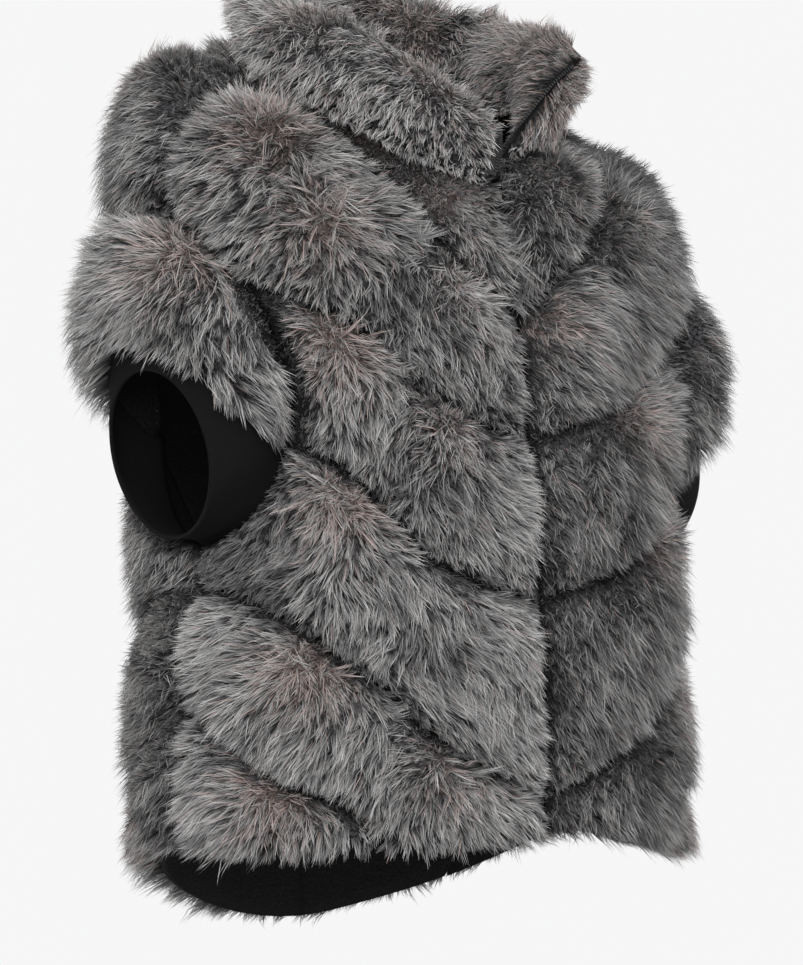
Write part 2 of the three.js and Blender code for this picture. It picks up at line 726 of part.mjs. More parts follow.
function toGeometry(solid) {
  const mesh = solid.getMesh();
  const geometry = new THREE.BufferGeometry();
  geometry.setAttribute('position', new THREE.BufferAttribute(mesh.vertProperties, 3));
  geometry.setIndex(new THREE.BufferAttribute(mesh.triVerts, 1));
  geometry.computeVertexNormals();
  return geometry;
}

function box(x0, x1, y0, y1, z0, z1) {
  const geometry = new THREE.BoxGeometry(x1 - x0, y1 - y0, z1 - z0);
  geometry.translate((x0 + x1) / 2, (y0 + y1) / 2, (z0 + z1) / 2);
  return geometry;
}

function rod(radius, x0, x1, y, z, sides) {
  const geometry = new THREE.CylinderGeometry(radius, radius, x1 - x0, sides);
  geometry.rotateZ(Math.PI / 2);
  geometry.translate((x0 + x1) / 2, y, z);
  return geometry;
}

// Local frame of the zip: y points into the vest, z up along the chain
function placeOnZip(mesh, level) {
  const p = wall(0, level);
  const n = wallNormal(0, level);
  mesh.position.copy(p);
  mesh.rotation.x = Math.atan2(n.z, -n.y) * -1;
}

const PIN = { y: -7.1, z: 3.2, radius: 0.9 };
const sliderParts = [
  box(-3.9, 3.9, -4.6, -0.1, -6, 6),
  box(-3.3, -2.2, -8.5, -4.5, 1.6, 4.8),
  box(2.2, 3.3, -8.5, -4.5, 1.6, 4.8),
  rod(PIN.radius, -2.8, 2.8, PIN.y, PIN.z, 12),
];
const slider = sliderParts.map(toManifold).reduce((a, b) => a.add(b));
placeOnZip(add('zip_slider', toGeometry(slider), metal), SLIDER_LEVEL);

const eye = toManifold(rod(2.1, -1.7, 1.7, PIN.y, PIN.z, 20));
const hole = toManifold(rod(1.3, -2, 2, PIN.y, PIN.z, 20));
const blade = toManifold(box(-2.9, 2.9, PIN.y - 0.9, PIN.y + 0.7, PIN.z - 27, PIN.z - 3.4));
const neck = toManifold(box(-1.7, 1.7, PIN.y - 0.9, PIN.y + 0.7, PIN.z - 3.6, PIN.z - 1));
const pull = eye.add(neck).add(blade).subtract(hole);
placeOnZip(add('zip_pull', toGeometry(pull), metal), SLIDER_LEVEL);

const BOX_LEVEL = 0.02;
placeOnZip(add('zip_box', box(-3.9, 3.9, -4.2, -0.1, -4.4, 6.4), metal), BOX_LEVEL);

export default group;
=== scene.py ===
# Looks of the long-pile fur vest: pelts with combed strands, jersey insets,
# zip and light. Lengths here are in millimetres until a mesh is made.

import math

import bpy
import numpy as np
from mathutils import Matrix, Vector


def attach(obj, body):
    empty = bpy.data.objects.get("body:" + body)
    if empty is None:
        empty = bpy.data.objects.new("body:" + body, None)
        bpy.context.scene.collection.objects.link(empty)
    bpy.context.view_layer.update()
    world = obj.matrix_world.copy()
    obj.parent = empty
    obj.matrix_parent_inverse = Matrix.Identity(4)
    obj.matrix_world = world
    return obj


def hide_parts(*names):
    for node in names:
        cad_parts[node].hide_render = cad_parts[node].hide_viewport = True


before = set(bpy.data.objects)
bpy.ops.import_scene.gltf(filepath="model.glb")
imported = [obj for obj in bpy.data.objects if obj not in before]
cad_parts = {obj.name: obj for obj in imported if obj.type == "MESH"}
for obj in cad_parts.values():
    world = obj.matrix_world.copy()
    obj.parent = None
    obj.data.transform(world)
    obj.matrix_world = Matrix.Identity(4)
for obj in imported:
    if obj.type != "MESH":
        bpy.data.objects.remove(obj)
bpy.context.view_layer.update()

MM = 0.001

# Main sizes, the same as the solids'
PILE = 38.0
CAP_PILE = 40.0
SEAM_GAP = 0.3
SHOULDER_GAP = 0.07
SEAM_OVERLAP = 0.55
ARMHOLE_OVERLAP = 2.2
INSET_OVERLAP = 5.0
SEAM_DEPTH = 0.58
ZIP_HALF_GROOVE = 4.5
ARMHOLE_GAP = 1.5
ARMHOLE_HALF_ANGLE = 34.0
ARMHOLE_LEVEL = 1.5
ARMHOLE_HALF_LEVEL = 0.5
NECK_LEVEL = 3.0
JERSEY = 2.4

# Looks
PELT_SHARE = 0.55
CELL = 9.0
CLUMPS_PER_CM2 = 10.6
GUARDS_PER_CLUMP = 2
FILLS_PER_CLUMP = 5
CLUMP_RADIUS = 2.3
TIP_JITTER = 1.4
GUARD_WIDTH = 0.9
FILL_WIDTH = 1.15
LEAN_MIN = 16.0
LEAN_MAX = 42.0
COLLAR_LEAN_MAX = 58.0
VALLEY = 0.6
VALLEY_WIDTH = 8
DEEP_VALLEY = 0.8
DEEP_VALLEY_WIDTH = 11
# Widths in mm of painted shade below a piece's top seam, wider on the right yoke that lies under the collar
# roll
SEAM_SHADE_WIDTH = 13
YOKE_SHADE_WIDTH = 30
WHORL_CROWDING = 1.3
WHORL_RADIUS = 25
LOOSE_RADIUS = 20
LEAN_REACH = 45
SHORTEST_HAIR = 5
LONGEST_HAIR = 46
ZIP_HAIR = 22
ZIP_HAIR_REACH = 10
ZIP_HAIR_LEAN = 1.2
TONE_MEAN = 0.47
TONE_PATCH = 0.46
TONE_CLUMP = 0.14
TONE_STRAND = 0.07
MAUVE_REACH = 30.0

RINGS = np.array([
    # level, front z, side z, back z, half width, front depth, back depth, front power, back power
    [0.0, -546, -556, -640, 197, 160, 146, 2.3, 2.3],
    [0.33, -476, -483, -540, 195, 158, 147, 2.3, 2.3],
    [0.67, -404, -408, -436, 192, 155, 149, 2.3, 2.3],
    [1.0, -336, -338, -338, 190, 150, 151, 2.3, 2.3],
    [1.25, -296, -286, -283, 194, 145, 154, 2.25, 2.35],
    [1.5, -254, -226, -224, 199, 139, 152, 2.2, 2.4],
    [1.75, -212, -160, -160, 207, 133, 151, 2.15, 2.45],
    [2.0, -170, -100, -94, 213, 127, 150, 2.1, 2.5],
    [2.2, -148, -62, -52, 203, 123, 148, 2.05, 2.55],
    [2.4, -124, -36, -14, 181, 120, 142, 2.05, 2.5],
    [2.7, -85, -15, 14, 134, 113, 114, 2.05, 2.3],
    [3.0, -48, 0, 26, 80, 106, 78, 2.05, 2.1],
])

SEAM_1 = [[0, 2.06], [20, 2.38], [35, 2.56], [60, 2.68], [90, 2.7], [120, 2.62], [150, 2.4], [180, 2.12]]
SEAM_2 = [[0, 1.49], [24, 1.62], [38, 1.79], [61, 1.84], [90, 1.86]]
SEAM_3_Z = {
    "front": [[0, -376], [27, -344], [38, -303], [46, -281], [62, -264], [90, -260]],
    "back": [[0, -384], [27, -354], [38, -314], [46, -288], [62, -266], [90, -260]],
}
SEAM_4_Z = {
    "front": [[0, -523], [24, -478], [37, -438], [46, -415], [59, -388], [72, -373], [90, -366]],
    "back": [[0, -548], [24, -498], [37, -454], [46, -428], [59, -394], [72, -375], [90, -366]],
}
SEAM_5_Z = {
    "front": [[0, -600], [36, -541], [47, -517], [56, -508], [70, -485], [90, -446]],
    "back": [[0, -760], [36, -612], [47, -568], [56, -538], [70, -494], [90, -446]],
}
SMALL_STRIP_START = 0.43

OPENING = {"x": 233, "y": -4, "z": -274, "top": 58, "bottom": 57, "half": 62, "lean": 10}
CAP_BULGE = {"top": 44, "side": 18, "bottom": -5}
CAP_HEM = [[0, 0.86], [35, 0.85], [62, 0.78], [82, 0.6], [98, 0.32], [110, 0.1]]
CAP_END = 107.0

COLLAR = {
    "right": [
        [0, [0, 0, 6, 16, 23, 22, 44, 3, 58, -31]],
        [45, [0, 0, 7, 22, 24, 35, 48, 18, 66, -20]],
        [90, [0, 0, 6, 26, 20, 45, 43, 34, 60, 4]],
        [135, [0, 0, 5, 24, 15, 44, 31, 50, 47, 38]],
        [180, [0, 0, 5, 24, 14, 42, 25, 55, 36, 61]],
    ],
    "left": [
        [0, [0, 0, 5, 17, 13, 33, 24, 48, 37, 60]],
        [45, [0, 0, 5, 19, 14, 37, 25, 53, 38, 65]],
        [90, [0, 0, 5, 23, 15, 43, 27, 58, 39, 68]],
        [135, [0, 0, 5, 24, 15, 43, 26, 57, 37, 65]],
        [180, [0, 0, 5, 24, 14, 42, 25, 55, 36, 61]],
    ],
}
COLLAR_OPEN = {"left": 36.0, "right": 17.0}
OUTER_PILE = [[0, 10], [0.25, 25], [0.5, 29], [0.75, 26], [0.9, 20], [1, 10]]
RIGHT_OUTER_PILE = [[0, 9], [0.25, 12], [0.5, 13], [0.75, 12], [0.9, 10], [1, 7]]
INNER_PILE = [[0, 4], [0.25, 14], [0.5, 23], [0.75, 25], [0.9, 21], [1, 11]]
COLLAR_LIFT = 0.6

# How the vest settles on its wearer, who holds the right shoulder higher
RIGHT_LIFT = 12.0
RIGHT_BACK_LIFT = 30.0
LEFT_DROP = 24.0


def smooth(x):
    t = np.clip(x, 0.0, 1.0)
    return t * t * (3 - 2 * t)


def settle(p):
    x, y, z = p[..., 0], p[..., 1], p[..., 2]
    back = smooth((y + 20) / 90)
    lift = RIGHT_LIFT * smooth((z + 420) / 200) + RIGHT_BACK_LIFT * back * smooth((z + 150) / 110)
    drop = LEFT_DROP * (1 - 0.6 * back)
    gain = smooth((-x - 20) / 130) * lift - smooth((x - 40) / 130) * drop
    return np.stack([x, y, z + gain], axis=-1)


def curve(rows, x):
    """Piecewise monotone cubic through rows of (x, y)."""
    rows = np.asarray(rows, float)
    xs, ys = rows[:, 0], rows[:, 1]
    x = np.clip(np.asarray(x, float), xs[0], xs[-1])
    slope = np.diff(ys) / np.diff(xs)
    tangent = np.zeros(len(xs))
    tangent[0], tangent[-1] = slope[0], slope[-1]
    a, b = slope[:-1], slope[1:]
    same = a * b > 0
    tangent[1:-1] = np.where(same, 2 * a * b / np.where(same, a + b, 1), 0)
    k = np.clip(np.searchsorted(xs, x, side="left") - 1, 0, len(xs) - 2)
    h = xs[k + 1] - xs[k]
    t = (x - xs[k]) / h
    t2, t3 = t * t, t * t * t
    return (
        (2 * t3 - 3 * t2 + 1) * ys[k]
        + (t3 - 2 * t2 + t) * h * tangent[k]
        + (3 * t2 - 2 * t3) * ys[k + 1]
        + (t3 - t2) * h * tangent[k + 1]
    )


def ring(level):
    return [curve(RINGS[:, [0, c]], level) for c in range(1, 9)]


def wall(angle, level):
    """Points of the inner wall at angles from the centre front, in degrees."""
    angle, level = np.broadcast_arrays(np.asarray(angle, float), np.asarray(level, float))
    z_front, z_side, z_back, width, front, back, front_power, back_power = ring(level)
    s, c = np.sin(np.radians(angle)), np.cos(np.radians(angle))
    forward = c > 0
    power = np.where(forward, front_power, back_power)
    r = 1 / (np.abs(s) ** power + np.abs(c) ** power) ** (1 / power)
    z_end = np.where(forward, z_front, z_back)
    depth = np.where(forward, front, back)
    z = z_side + (z_end - z_side) * c * c
    return np.stack([width * r * s, -depth * r * c, z], axis=-1)


def unit(v):
    return v / np.maximum(np.linalg.norm(v, axis=-1, keepdims=True), 1e-9)


def wall_normal(angle, level):
    low = np.clip(np.asarray(level) - 0.01, 0, NECK_LEVEL)
    high = np.clip(np.asarray(level) + 0.01, 0, NECK_LEVEL)
    around = wall(angle + 0.4, level) - wall(angle - 0.4, level)
    up = wall(angle, high) - wall(angle, low)
    return unit(np.cross(around, up))


def level_at(angle, z):
    """Levels of the inner wall at angles and heights."""
    angle, z = np.broadcast_arrays(np.asarray(angle, float), np.asarray(z, float))
    low, high = np.zeros(angle.shape), np.full(angle.shape, NECK_LEVEL)
    for _ in range(26):
        mid = (low + high) / 2
        below = wall(angle, mid)[..., 2] < z
        low, high = np.where(below, mid, low), np.where(below, high, mid)
    return (low + high) / 2


def real_angle(place, t):
    return t if place == "front" else 180 - t


T_GRID = np.linspace(0, 90, 181)


def height_seam(tables):
    found = {p: level_at(real_angle(p, T_GRID), curve(tables[p], T_GRID)) for p in tables}
    return lambda place, t: np.interp(t, T_GRID, found[place])


def seam_2(place, t):
    return curve(SEAM_2, t)


seam_3 = height_seam(SEAM_3_Z)
seam_4 = height_seam(SEAM_4_Z)
seam_5 = height_seam(SEAM_5_Z)


def hem(place, t):
    return np.zeros(np.shape(t))


def lower_5(place, t):
    return np.where(np.asarray(t) < 90 * SMALL_STRIP_START - 0.5, 0.0, seam_5(place, t))


def start_angle(place, level):
    reach = ZIP_HALF_GROOVE if place == "front" else SEAM_GAP
    return float(np.degrees(np.arcsin(reach / ring(level)[3])))


def crown(across, along):
    """Height of the pile: full in a strip's middle, low along its seams."""
    a = smooth(np.minimum(across, 1 - across) / 0.3)
    b = smooth(np.minimum(along, 1 - along) / 0.12)
    return PILE * (SEAM_DEPTH + (1 - SEAM_DEPTH) * a * (0.35 + 0.65 * b) + 0.08 * b * (1 - a))


def in_armhole(angle, level):
    a = (angle - 90) / ARMHOLE_HALF_ANGLE
    b = (level - ARMHOLE_LEVEL) / ARMHOLE_HALF_LEVEL
    return a * a + b * b < 1


def row_end(place, level):
    inside = in_armhole(real_angle(place, T_GRID), level(T_GRID))
    inside[T_GRID > 89.8] = False
    hit = np.nonzero(inside)[0]
    if not len(hit):
        return 90 - 0.1
    low, high = T_GRID[hit[0] - 1], T_GRID[hit[0]]
    for _ in range(12):
        mid = (low + high) / 2
        if in_armhole(real_angle(place, mid), level(mid)):
            high = mid
        else:
            low = mid
    return low


def strip_grid(place, upper, lower, columns, rows, first=0.0):
    """Angle and level of a strip's grid of points, its rows trimmed by the armhole."""
    angle, level = np.zeros((columns, rows)), np.zeros((columns, rows))
    c = np.linspace(first, 1, columns)
    for j, r in enumerate(np.linspace(0, 1, rows)):
        def row(t, r=r):
            low, high = lower(place, t), upper(place, t)
            return low + (high - low) * (0.004 + 0.992 * r)
        end = row_end(place, row)
        start = start_angle(place, float(row(2.0)))
        t = start + (end - start) * c
        angle[:, j], level[:, j] = real_angle(place, t), row(t)
    return angle, level


def shoulder_lower(angle):
    t = np.where(angle < 90, angle, 180 - angle)
    seam = curve(SEAM_2, np.clip(t, 0, 90))
    a = np.clip((angle - 90) / ARMHOLE_HALF_ANGLE, -1, 1)
    top = ARMHOLE_LEVEL + ARMHOLE_HALF_LEVEL * np.sqrt(1 - a * a)
    return np.where(np.abs(angle - 90) < ARMHOLE_HALF_ANGLE, np.maximum(seam, top), seam)


def shoulder_grid(upper, lower, columns, rows, part):
    """Angle and level of a shoulder strip, whole or on one side of the shoulder seam."""
    angle, level = np.zeros((columns, rows)), np.zeros((columns, rows))
    for j, r in enumerate(np.linspace(0, 1, rows)):
        at_front = float(lower(np.array(2.0)) * (1 - r) + upper(np.array(2.0)) * r)
        first = 90.0 + SHOULDER_GAP if part == "back" else start_angle("front", at_front)
        last = 90.0 - SHOULDER_GAP if part == "front" else 180 - start_angle("back", at_front)
        a = np.linspace(first, last, columns)
        if part == "back":
            a = a[::-1]
        angle[:, j] = a
        level[:, j] = lower(a) + (upper(a) - lower(a)) * (0.004 + 0.992 * r)
    return angle, level


def seam_1(angle):
    return curve(SEAM_1, angle)


def armhole_point(turn):
    t = np.radians(turn)
    return 90 - ARMHOLE_HALF_ANGLE * np.sin(t), ARMHOLE_LEVEL + ARMHOLE_HALF_LEVEL * np.cos(t)


def sleeve_start(turn):
    p = wall(*armhole_point(turn))
    centre = np.broadcast_to(wall(90.0, ARMHOLE_LEVEL), p.shape).copy()
    centre[..., 0] = p[..., 0]
    return p + unit(centre - p) * ARMHOLE_GAP


def opening_point(turn):
    up, front = np.cos(np.radians(turn)), np.sin(np.radians(turn))
    half = np.where(up > 0, OPENING["top"], OPENING["bottom"])
    return np.stack([
        OPENING["x"] + OPENING["lean"] * up,
        OPENING["y"] - OPENING["half"] * front,
        OPENING["z"] + half * up,
    ], axis=-1)


def sleeve_wall(turn, w):
    turn, w = np.broadcast_arrays(np.asarray(turn, float), np.asarray(w, float))
    a, b = sleeve_start(turn), opening_point(turn)
    up, front = np.cos(np.radians(turn)), np.sin(np.radians(turn))
    high = np.maximum(up, 0)
    out = unit(np.stack([0.56 * high, -front, np.where(up > 0, 0.83 * up, up)], axis=-1))
    low = smooth(-up / 0.75)
    size = CAP_BULGE["top"] * high ** 1.5 + CAP_BULGE["side"] * np.abs(front) * (1 - low)
    size = size + CAP_BULGE["bottom"] * low
    k = (a + b) / 2 + out * size[..., None]
    w = w[..., None]
    return a * (1 - w) ** 2 + k * 2 * w * (1 - w) + b * w * w


def sleeve_normal(turn, w):
    turn, w = np.broadcast_arrays(np.asarray(turn, float), np.asarray(w, float))
    around = sleeve_wall(turn - 2, w) - sleeve_wall(turn + 2, w)
    along = sleeve_wall(turn, np.minimum(w + 0.02, 1)) - sleeve_wall(turn, np.maximum(w - 0.02, 0))
    n = unit(np.cross(around, along))
    centre = (sleeve_wall(0.0, w) + sleeve_wall(180.0, w)) / 2
    facing = np.sum(n * (sleeve_wall(turn, w) - centre), axis=-1, keepdims=True)
    n = np.where(facing < 0, -n, n)
    body = wall_normal(*armhole_point(turn))
    t = smooth(w / 0.5)[..., None]
    return unit(body * (1 - t) + n * t)


def cap_reach(turn):
    signed = np.abs((np.asarray(turn) + 180) % 360 - 180)
    return curve(CAP_HEM, signed)


def collar_line(hand, angle, s):
    """Outward and upward steps of the collar's seam line from the neck base."""
    table = COLLAR[hand]
    steps = [curve([[a, row[k]] for a, row in table], angle) for k in range(10)]
    quarter = np.clip(np.floor(s * 4), 0, 3)
    outward = [steps[2 * q] for q in range(5)]
    upward = [steps[2 * q + 1] for q in range(5)]

    def through(values):
        slope = [(values[q + 1] - values[q]) * 4 for q in range(4)]
        tangent = [slope[0]]
        for q in range(3):
            a, b = slope[q], slope[q + 1]
            same = a * b > 0
            tangent.append(np.where(same, 2 * a * b / np.where(same, a + b, 1), 0))
        tangent.append(slope[3])
        result = np.zeros(np.broadcast(angle, s).shape)
        for q in range(4):
            t = s * 4 - q
            t2, t3 = t * t, t * t * t
            value = (
                (2 * t3 - 3 * t2 + 1) * values[q] + (t3 - 2 * t2 + t) * 0.25 * tangent[q]
                + (3 * t2 - 2 * t3) * values[q + 1] + (t3 - t2) * 0.25 * tangent[q + 1]
            )
            result = np.where(quarter == q, value, result)
        return result

    return through(outward), through(upward)


def collar_angle(hand, base, s):
    wide = COLLAR_OPEN[hand] * s
    return wide + base * ((180 - wide) / 180)


def collar_point(hand, angle, s, offset):
    angle, s = np.broadcast_arrays(np.asarray(angle, float), np.asarray(s, float))
    base = wall(angle, NECK_LEVEL)
    upward_wall = unit(base - wall(angle, NECK_LEVEL - 0.02))
    around = wall(angle + 1, NECK_LEVEL) - wall(angle - 1, NECK_LEVEL)
    out = unit(np.stack([around[..., 1], -around[..., 0], np.zeros(angle.shape)], axis=-1))
    r, h = collar_line(hand, angle, s)
    r0, h0 = collar_line(hand, angle, np.maximum(0, s - 0.02))
    r1, h1 = collar_line(hand, angle, np.minimum(1, s + 0.02))
    up = np.array([0, 0, 1.0])
    side = unit(out * (h1 - h0)[..., None] - up * (r1 - r0)[..., None])
    offset = np.broadcast_to(np.asarray(offset, float), angle.shape)
    foot = np.where((offset < 0)[..., None], -upward_wall, wall_normal(angle, NECK_LEVEL))
    t = smooth(s / 0.25)[..., None]
    direction = unit(foot * (1 - t) + side * t)
    p = base + upward_wall * COLLAR_LIFT + out * r[..., None] + up * h[..., None]
    return p + direction * offset[..., None], direction


# A patch holds the grids of one fur piece: points of its backing, outward
# directions and pile height, with c along its columns and r up its rows
def body_patch(angle, level, high):
    return {"p": wall(angle, level), "n": wall_normal(angle, level), "h": high}


def grid_size(length, height):
    return max(8, int(round(length / CELL)) + 1), max(6, int(round(height / CELL)) + 1)


def unit_grid(columns, rows):
    return np.meshgrid(np.linspace(0, 1, columns), np.linspace(0, 1, rows), indexing="ij")


def body_strip(place, upper, lower, length, height, first=0.0):
    columns, rows = grid_size(length, height)
    angle, level = strip_grid(place, upper, lower, columns, rows, first)
    c, r = unit_grid(columns, rows)
    return body_patch(angle, level, crown(r, c))


def shoulder_strip(hand, upper, lower, length, height, part="both"):
    columns, rows = grid_size(length, height)
    angle, level = shoulder_grid(upper, lower, columns, rows, part)
    c, r = unit_grid(columns, rows)
    taper = 0.3 + 0.7 * smooth((NECK_LEVEL - level) / 0.42)
    if hand == "right":
        free = np.maximum(smooth((2.66 - level) / 0.26), smooth((angle - 115) / 40))
        taper = taper * (0.4 + 0.6 * free)
    return body_patch(angle, level, crown(r, c) * taper)


def cap_patch():
    columns, rows = grid_size(300, 130)
    c, r = unit_grid(columns, rows)
    turn = -CAP_END + 2 * CAP_END * c
    w = r * cap_reach(turn)
    a = smooth(np.minimum(r / 0.34, (1 - r) / 0.3))
    b = smooth(np.minimum(c, 1 - c) / 0.14)
    edge = np.where(r > 0.5, 0.66, SEAM_DEPTH)
    high = CAP_PILE * (edge + (1 - edge) * a * (0.3 + 0.7 * b))
    return {"p": sleeve_wall(turn, w), "n": sleeve_normal(turn, w), "h": high}


def collar_patch(hand, facing):
    columns, rows = grid_size(330, 95)
    c, s = unit_grid(columns, rows)
    start = start_angle("front", NECK_LEVEL)
    angle = collar_angle(hand, start + (180 - start - 0.3) * c, s)
    if facing < 0:
        high = curve(INNER_PILE, s)
    else:
        high = curve(OUTER_PILE, s)
        if hand == "right":
            t = smooth((angle - 80) / 60)
            high = curve(RIGHT_OUTER_PILE, s) * (1 - t) + high * t
    high = high * (0.42 + 0.58 * smooth(c / 0.12))
    p, n = collar_point(hand, angle, s, facing * 0.2 * np.ones(angle.shape))
    return {"p": p, "n": n * facing, "h": high}


def mirror(patch):
    flip = np.array([-1.0, 1.0, 1.0])
    return {"p": patch["p"] * flip, "n": patch["n"] * flip, "h": patch["h"]}


# Whorls that the hair grows away from, as (c, r, brownness), for the right
# and the left hand of each piece
WHORLS = {
    "strip_1": (
        [(0.12, 0.45, 0.5), (0.28, 0.5, 0.8), (0.55, 0.5, 0.6), (0.8, 0.5, 0.6)],
        [(0.16, 0.5, 0.3), (0.5, 0.5, 0.5), (0.82, 0.6, 0.6)],
    ),
    "front_strip_2": (
        [(0.15, 0.75, 0.3), (0.5, 0.42, 0.8), (0.74, 0.66, 1.0)],
        [(0.04, 0.85, 0.7), (0.5, 0.75, 0.3)],
    ),
    "back_strip_2": ([(0.6, 0.66, 0.6)], [(0.6, 0.7, 0.6)]),
    "front_strip_3": ([(0.7, 0.84, 1.0), (0.3, 0.9, 0.45)], [(0.5, 0.85, 0.6)]),
    "front_strip_4": ([(0.73, 0.84, 0.8)], [(0.66, 0.85, 0.6)]),
    "front_strip_5": ([(0.58, 0.8, 0.9), (0.25, 0.78, 0.5)], [(0.55, 0.85, 0.6)]),
    "front_strip_6": ([(0.41, 0.8, 0.9)], [(0.3, 0.75, 0.8)]),
    "back_strip_3": ([(0.5, 0.85, 0.8)], [(0.62, 0.8, 0.8)]),
    "back_strip_4": ([(0.7, 0.8, 0.8), (0.2, 0.7, 0.5)], [(0.45, 0.85, 0.8)]),
    "back_strip_5": ([(0.4, 0.8, 0.8)], [(0.6, 0.75, 0.8), (0.15, 0.7, 0.5)]),
    "back_strip_6": ([(0.4, 0.7, 0.8)], [(0.5, 0.7, 0.8)]),
    "cap_sleeve": ([(0.61, 0.4, 0.9)], [(0.35, 0.4, 0.6)]),
    "collar_outer": ([(0.5, 0.6, 0.8)], [(0.12, 0.5, 0.7), (0.6, 0.6, 0.7)]),
    "collar_inner": ([(0.12, 0.45, 0.6), (0.42, 0.5, 0.7)], [(0.3, 0.6, 0.7), (0.75, 0.6, 0.6)]),
}

# How far a piece's hair may reach past its edges, and past the hem
HEM_REACH = 12.0
OPEN_EDGE = {"low": 1.5, "high": -2.5, "start": 5.0, "end": 0.0}
REACH = {
    "strip_1": {"start": 22.0},
    "front_strip_2": {"start": 7.0, "low": 4.0},
    "back_strip_2": {"low": 4.0},
    "cap_sleeve": {"high": 14.0, "low": -9.0, "start": -2.0, "end": -2.0},
    "front_strip_3": {"end": -10.0},
    "back_strip_3": {"end": -6.0},
    "collar_outer": {"high": 16.0, "start": 10.0, "low": 3.0},
    "collar_inner": {"high": 18.0, "start": 10.0},
}
FREE_EDGE = {
    # edges with no neighbour, where the pile stays full
    "cap_sleeve": ("high",), "strip_1": ("start",),
    "collar_outer": ("high", "end", "start"), "collar_inner": ("high", "end", "start"),
}
DEEP_EDGE = {
    # edges where the fur stands well apart from its neighbour
    "cap_sleeve": ("low",), "front_strip_3": ("end",), "back_strip_3": ("end",),
}
# Fold of a front strip beside the armhole: where c = first + second * r, how fast the hair drops there, and
# the height and the painted shade (tone) left beyond it, where the side lies in shade under the arm
SIDE_FOLD = {"front_strip_3": (0.9, -0.05, 0.04, 0.45, 0.12), "front_strip_4": (0.52, 0.5, 0.08, 0.65, 0.36)}
# Painted light and shade: a tone scale for pieces, below 1 where the far, left side and the back of the
# shoulder lie in shade, above 1 on the lit collar
PAINTED_LIGHT_SCALE = {
    ("back_strip_2", "right"): 0.92, ("back_strip_2", "left"): 0.5, ("cap_sleeve", "left"): 0.8,
    ("front_strip_2", "left"): 0.7, ("front_strip_3", "left"): 0.7, ("front_strip_4", "left"): 0.68,
    ("front_strip_5", "left"): 0.78, ("strip_1", "left"): 0.88, ("collar_inner", "left"): 0.9,
    ("collar_inner", "right"): 1.45,
    ("collar_outer", "right"): 1.4, ("collar_outer", "left"): 1.25,
}
# Pieces that are browner than the rest
BROWNER = {
    ("collar_outer", "left"): 0.6, ("collar_inner", "left"): 0.45, ("strip_1", "right"): 0.12,
    ("collar_outer", "right"): 0.2, ("collar_inner", "right"): 0.15,
}
# Dark spots, partly the coat's own dark patches and partly painted shade on the far, left side and at the
# ends of the cap sleeves: piece, hand, c, r, radius and the tone left there
DARK_SPOTS_AND_SHADE = [
    ("strip_1", "left", 0.17, 0.5, 14, 0.1), ("strip_1", "left", 0.3, 0.3, 26, 0.3),
    ("front_strip_2", "left", 0.8, 0.75, 42, 0.2), ("front_strip_2", "left", 0.92, 0.35, 52, 0.3),
    ("front_strip_2", "right", 0.08, 0.12, 18, 0.6), ("cap_sleeve", "right", 1.0, 0.15, 34, 0.08),
    ("cap_sleeve", "left", 0.0, 0.2, 26, 0.1),
    ("front_strip_4", "right", 0.36, 0.45, 20, 0.55), ("front_strip_3", "right", 0.42, 0.4, 17, 0.6),
    ("front_strip_2", "right", 0.34, 0.3, 20, 0.6), ("front_strip_5", "right", 0.3, 0.5, 16, 0.65),
    ("collar_inner", "left", 0.3, 0.4, 26, 0.55), ("front_strip_5", "left", 0.3, 0.6, 30, 0.65),
]


def neck_edge(angle):
    return np.full(np.shape(angle), NECK_LEVEL)


def half_patch(piece, hand):
    if piece == "strip_1":
        return shoulder_strip(hand, neck_edge, seam_1, 480, 75)
    if piece.endswith("strip_2"):
        return shoulder_strip(hand, seam_1, shoulder_lower, 320, 125, piece.split("_")[0])
    if piece == "cap_sleeve":
        return cap_patch()
    if piece.startswith("collar"):
        return collar_patch(hand, 1 if piece == "collar_outer" else -1)
    place, number = piece.split("_strip_")
    return {
        "3": lambda: body_strip(place, seam_2, seam_3, 240, 115),
        "4": lambda: body_strip(place, seam_3, seam_4, 270, 130),
        "5": lambda: body_strip(place, seam_4, lower_5, 275, 90),
        "6": lambda: body_strip(place, seam_5, hem, 155, 90, SMALL_STRIP_START),
    }[number]()


patches = []
for piece in WHORLS:
    for hand in ("left", "right"):
        made = half_patch(piece, hand)
        if hand == "right":
            made = mirror(made)
        patches.append((piece, hand, made))


# Materials
def new_material(name):
    material = bpy.data.materials.new(name)
    material.use_nodes = True
    tree = material.node_tree
    shader = tree.nodes["Principled BSDF"]
    return material, tree, shader


def node(tree, kind, inputs=None, **settings):
    made = tree.nodes.new(kind)
    for key, value in settings.items():
        setattr(made, key, value)
    for key, value in (inputs or {}).items():
        if isinstance(value, bpy.types.NodeSocket):
            tree.links.new(value, made.inputs[key])
        else:
            made.inputs[key].default_value = value
    return made


def ramp(tree, factor, stops):
    made = node(tree, "ShaderNodeValToRGB", {"Fac": factor})
    elements = made.color_ramp.elements
    while len(elements) > 1:
        elements.remove(elements[-1])
    for k, (place, colour) in enumerate(stops):
        element = elements[0] if k == 0 else elements.new(place)
        element.position = place
        element.color = (*colour, 1)
    return made.outputs["Color"]


def mixed(tree, factor, first, second):
    made = node(tree, "ShaderNodeMix", data_type="RGBA")
    colours = [s for s in made.inputs if s.type == "RGBA"]
    tree.links.new(factor, made.inputs["Factor"])
    tree.links.new(first, colours[0])
    tree.links.new(second, colours[1])
    return next(s for s in made.outputs if s.type == "RGBA")


def grey(value):
    return (value, value, value * 1.06)


